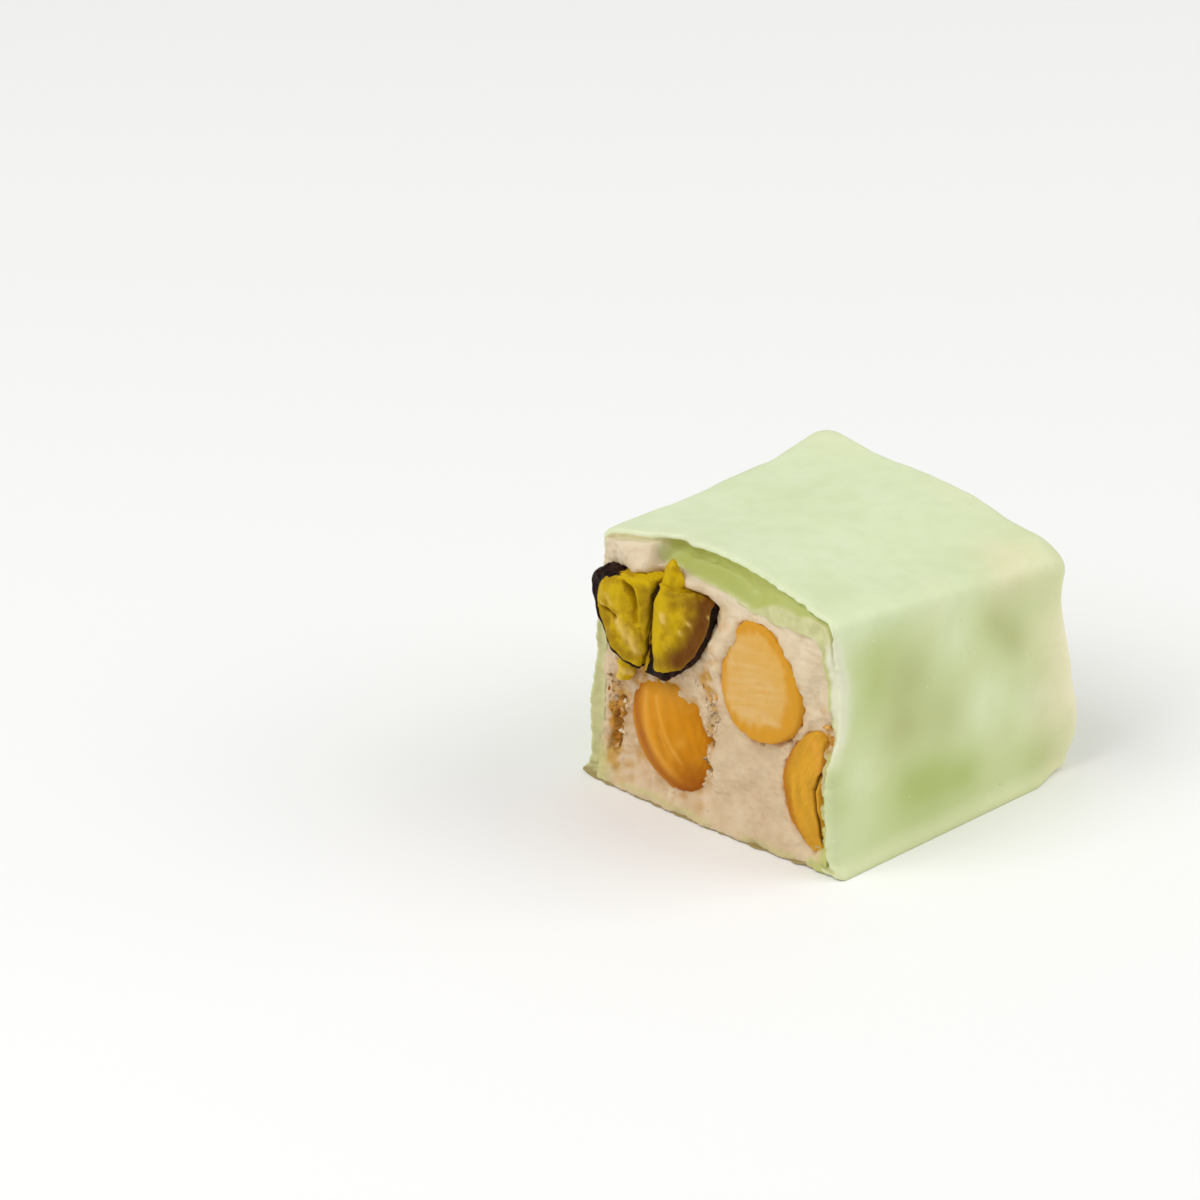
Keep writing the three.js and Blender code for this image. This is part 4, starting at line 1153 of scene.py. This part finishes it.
def coating_material():
    shader = Shader("coating")
    cut = shader.layered(
        shader.blotches(srgb(198, 196, 138), srgb(212, 210, 154), 0.9),
        # Deeper green in the hollow under the top's rim: partly the cut coating's own colour, partly
        # painted shade.
        ("cove", 1, srgb(184, 190, 104)),
        ("chunk", 1, srgb(214, 206, 160)),
    )
    colour = shader.layered(
        shader.blotches(srgb(200, 211, 151), srgb(208, 217, 159), 9.0, 3.0, 0.3, 0.7),
        # Paler where the coating is thick, and on top a painted sheen.
        ("upper", 1, shader.blotches(srgb(217, 228, 185), srgb(223, 234, 195), 9.0, 3.0, 0.3, 0.7)),
        ("fresh", 1, srgb(177, 192, 110)),
        # Painted shade, greyer over the nuts close behind the coating.
        ("nut_shade", 1, srgb(182, 188, 124)),
        # Creamy spots: partly thin coating over the nougat, partly painted sheen towards the edges.
        ("cream_and_sheen", 1, srgb(232, 226, 186)),
        (shader.ramp(shader.noise(1.4, 5.0), 0.35, 0.7), 0.16, srgb(190, 202, 140)),
        ("broken", 1, cut),
        # Darker brown at the foot of the break; along the +Y wall's broken edge, painted shade.
        ("lower", 1, srgb(156, 136, 80)),
        # The pale rim: partly the whitish worn edge, partly a painted highlight along it.
        ("rim", 0.85, srgb(231, 231, 205)),
        (shader.specks(1.6, 0.07), 0.3, srgb(238, 238, 215)),
        (shader.specks(2.6, 0.045), 0.5, srgb(166, 160, 104)),
    )
    waxy = shader.bump(shader.noise(0.5, 4.0), 0.015)
    smears = shader.ramp(shader.noise(3.0), 0.2, 0.8)
    sheen = shader.add("ShaderNodeMapRange", {"Value": smears, "To Min": 0.42, "To Max": 0.55})
    return shader.done(Base_Color=colour, Roughness=sheen.outputs["Result"], Normal=waxy,
                       scatter=(0.25, (1.0, 1.0, 0.5), 0.6))


def nougat_material():
    shader = Shader("nougat")
    drawn_out = shader.add("ShaderNodeMapping", {"Vector": shader.place, "Scale": (1, 0.15, 1)})
    fibres = shader.ramp(shader.noise(0.3, 3.0, drawn_out.outputs["Vector"]), 0.4, 0.62)
    crevices = shader.ramp(shader.noise(0.32, 3.0), 0.54, 0.64)
    crevices = shader.times(shader.mark("crumbled"), crevices)
    pores = shader.specks(0.7, 0.13)
    colour = shader.layered(
        shader.blotches(srgb(207, 181, 146), srgb(217, 193, 159), 1.3, 4.0, 0.3, 0.7),
        ("pale", 1, shader.blotches(srgb(222, 203, 170), srgb(231, 214, 186), 1.3, 4.0, 0.3, 0.7)),
        (shader.times(shader.mark("fibres"), fibres), 0.3, srgb(204, 178, 140)),
        ("stain", 1, shader.blotches(srgb(184, 132, 46), srgb(204, 160, 92), 0.6, 4.0)),
        # Darker brown in the crevices of the crumbly seams: painted shade.
        (crevices, 0.75, srgb(128, 92, 46)),
        ("green", 1, srgb(194, 196, 122)),
        (pores, 0.12, srgb(186, 152, 108)),
    )
    chalk = shader.bump(pores, -0.02, shader.bump(shader.noise(0.25, 4.0), 0.03))
    chalk = shader.bump(crevices, -0.12, chalk)
    return shader.done(Base_Color=colour, Roughness=0.85, Normal=chalk, Specular_IOR_Level=0.2,
                       scatter=(0.2, (1.0, 0.7, 0.4), 0.6))


def pistachio_material():
    shader = Shader("pistachio")
    flesh = shader.layered(
        shader.blotches(srgb(174, 136, 10), srgb(206, 170, 14), 0.7, 5.0, 0.38, 0.62),
        # Painted light on the facets facing the lamp, olive partly painted shade, brown painted shade, and
        # painted highlights on the ridge and glints.
        ("bright", 1, srgb(206, 172, 6)),
        ("olive", 1, srgb(158, 124, 10)),
        ("brown_shade", 1, srgb(112, 66, 12)),
        ("glint", 1, srgb(228, 194, 100)),
    )
    torn = shader.torn("skin", 0.45)
    colour = shader.mix(torn, flesh, shader.blotches(srgb(14, 4, 3), srgb(46, 18, 8), 0.5, 4.0))
    fine = shader.bump(torn, 0.06, shader.bump(shader.noise(0.35, 5.0), 0.09))
    return shader.done(Base_Color=colour, Roughness=0.45, Normal=fine, Specular_IOR_Level=0.08,
                       scatter=(0.06, (0.8, 0.8, 0.1), 0.4))


def almond_material(name, flesh):
    shader = Shader(name)
    darker = tuple(0.84 * channel for channel in flesh[:3]) + (1.0,)
    colour = shader.layered(
        shader.mix(shader.ramp(shader.mark("streak"), -1.6, 1.6), darker, flesh),
        (shader.ramp(shader.noise(0.9, 5.0), 0.4, 0.7), 0.3, srgb(216, 152, 44)),
        ("pale", 1, srgb(224, 160, 56)),
        ("brown", 1, srgb(168, 92, 14)),
        ("crack", 1, srgb(84, 44, 14)),
    )
    fine = shader.bump(shader.noise(0.3, 4.0), 0.02)
    return shader.done(Base_Color=colour, Roughness=0.5, Normal=fine, Specular_IOR_Level=0.1,
                       scatter=(0.1, (1.0, 0.5, 0.1), 0.5))


def cut_almond_material():
    shader = Shader("cut_almond")
    streak = shader.times(shader.ramp(shader.mark("streak"), -1.2, 1.4), 0.6)
    colour = shader.layered(
        shader.mix(streak, srgb(218, 172, 92), srgb(224, 184, 118)),
        (shader.ramp(shader.noise(0.8, 5.0), 0.4, 0.7), 0.45, srgb(220, 166, 74)),
        ("upper", 0.7, srgb(222, 168, 70)),
        ("rim", 1, srgb(212, 150, 32)),
    )
    fine = shader.bump(shader.noise(0.22, 4.0), 0.025)
    return shader.done(Base_Color=colour, Roughness=0.5, Normal=fine, Specular_IOR_Level=0.2,
                       scatter=(0.1, (1.0, 0.7, 0.1), 0.5))


def crumb_material(name, dark, light):
    shader = Shader(name)
    colour = shader.blotches(dark, light, 0.35)
    fine = shader.bump(shader.noise(0.08, 3.0), 0.02)
    return shader.done(Base_Color=colour, Roughness=0.8, Normal=fine, Specular_IOR_Level=0.15)


def dress(piece, node, material):
    """Gives a piece its material and its body, and lets it stand for its CAD node."""
    piece.data.materials.append(material)
    if node:
        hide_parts(node)
    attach(piece, "root")
    return piece


# ---- camera, lights and floor

VIEW_AZIMUTH = math.radians(-46.7)
VIEW_ELEVATION = math.radians(25.6)
PHOTO_WIDTH = 1200.0  # pixels
PHOTO_SCALE = 15.5  # pixels to a millimetre
ORIGIN_PIXEL = (831.8, 771.5)  # where the middle of the base is in the photo
LENS = 500.0
SENSOR = 36.0


def direction(azimuth, elevation):
    level = math.cos(elevation)
    return Vector((math.sin(azimuth) * level, -math.cos(azimuth) * level, math.sin(elevation)))


def make_camera():
    backwards = direction(VIEW_AZIMUTH, VIEW_ELEVATION)
    turn = backwards.to_track_quat("Z", "Y")
    right, up = turn @ Vector((1, 0, 0)), turn @ Vector((0, 1, 0))
    aside = (PHOTO_WIDTH / 2 - ORIGIN_PIXEL[0]) / PHOTO_SCALE
    above = (ORIGIN_PIXEL[1] - PHOTO_WIDTH / 2) / PHOTO_SCALE
    away = PHOTO_WIDTH / PHOTO_SCALE * LENS / SENSOR
    camera = bpy.data.objects.new("camera", bpy.data.cameras.new("camera"))
    camera.data.lens = LENS
    camera.data.sensor_width = SENSOR
    camera.location = (right * aside + up * above + backwards * away) * MM
    camera.rotation_euler = turn.to_euler()
    bpy.context.scene.collection.objects.link(camera)
    bpy.context.scene.camera = camera


def soft_light(name, azimuth, elevation, power, size, away=0.5):
    lamp = bpy.data.lights.new(name, "AREA")
    lamp.energy = power
    lamp.size = size
    light = bpy.data.objects.new(name, lamp)
    towards = direction(math.radians(azimuth), math.radians(elevation))
    light.location = towards * away
    light.rotation_euler = towards.to_track_quat("Z", "Y").to_euler()
    bpy.context.scene.collection.objects.link(light)


def make_floor():
    bpy.ops.mesh.primitive_plane_add(size=4.0)
    floor = bpy.context.object
    floor.name = "floor"
    shader = Shader("floor")
    colour = shader.mix(shader.noise(400.0), srgb(247, 247, 245), srgb(250, 250, 249))
    floor.data.materials.append(shader.done(Base_Color=colour, Roughness=0.9))


def make_world():
    world = bpy.data.worlds.new("studio")
    world.use_nodes = True
    background = world.node_tree.nodes["Background"]
    background.inputs["Color"].default_value = (1.0, 1.0, 1.0, 1.0)
    background.inputs["Strength"].default_value = 0.5
    bpy.context.scene.world = world


make_camera()
make_world()
make_floor()
soft_light("key", azimuth=-105, elevation=52, power=1.25, size=0.35)
soft_light("fill", azimuth=45, elevation=35, power=0.95, size=0.4)
bpy.context.scene.view_settings.view_transform = "Standard"

# ---- the bar

coating_piece()
nougat_piece()
pistachio_piece("pistachio_half_left", "pistachio_left", pistachio_left_distance, (-10.8, 6.6, 13.2), 31)
pistachio_piece("pistachio_half_right", "pistachio_right", pistachio_right_distance, (-10.3, 2.3, 13.2), 35)
chip_piece()
almond_lower_piece()
almond_upper_piece()
almond_edge_piece()
sliver_piece()
crumbs_piece("almond_crumbs", ALMOND_CRUMBS, srgb(182, 118, 40), srgb(226, 176, 96), 101)
crumbs_piece("skin_crumbs", SKIN_CRUMBS, srgb(84, 48, 22), srgb(168, 112, 40), 102)
crumbs_piece("nougat_crumbs", NOUGAT_CRUMBS, srgb(212, 188, 152), srgb(228, 208, 176), 103)
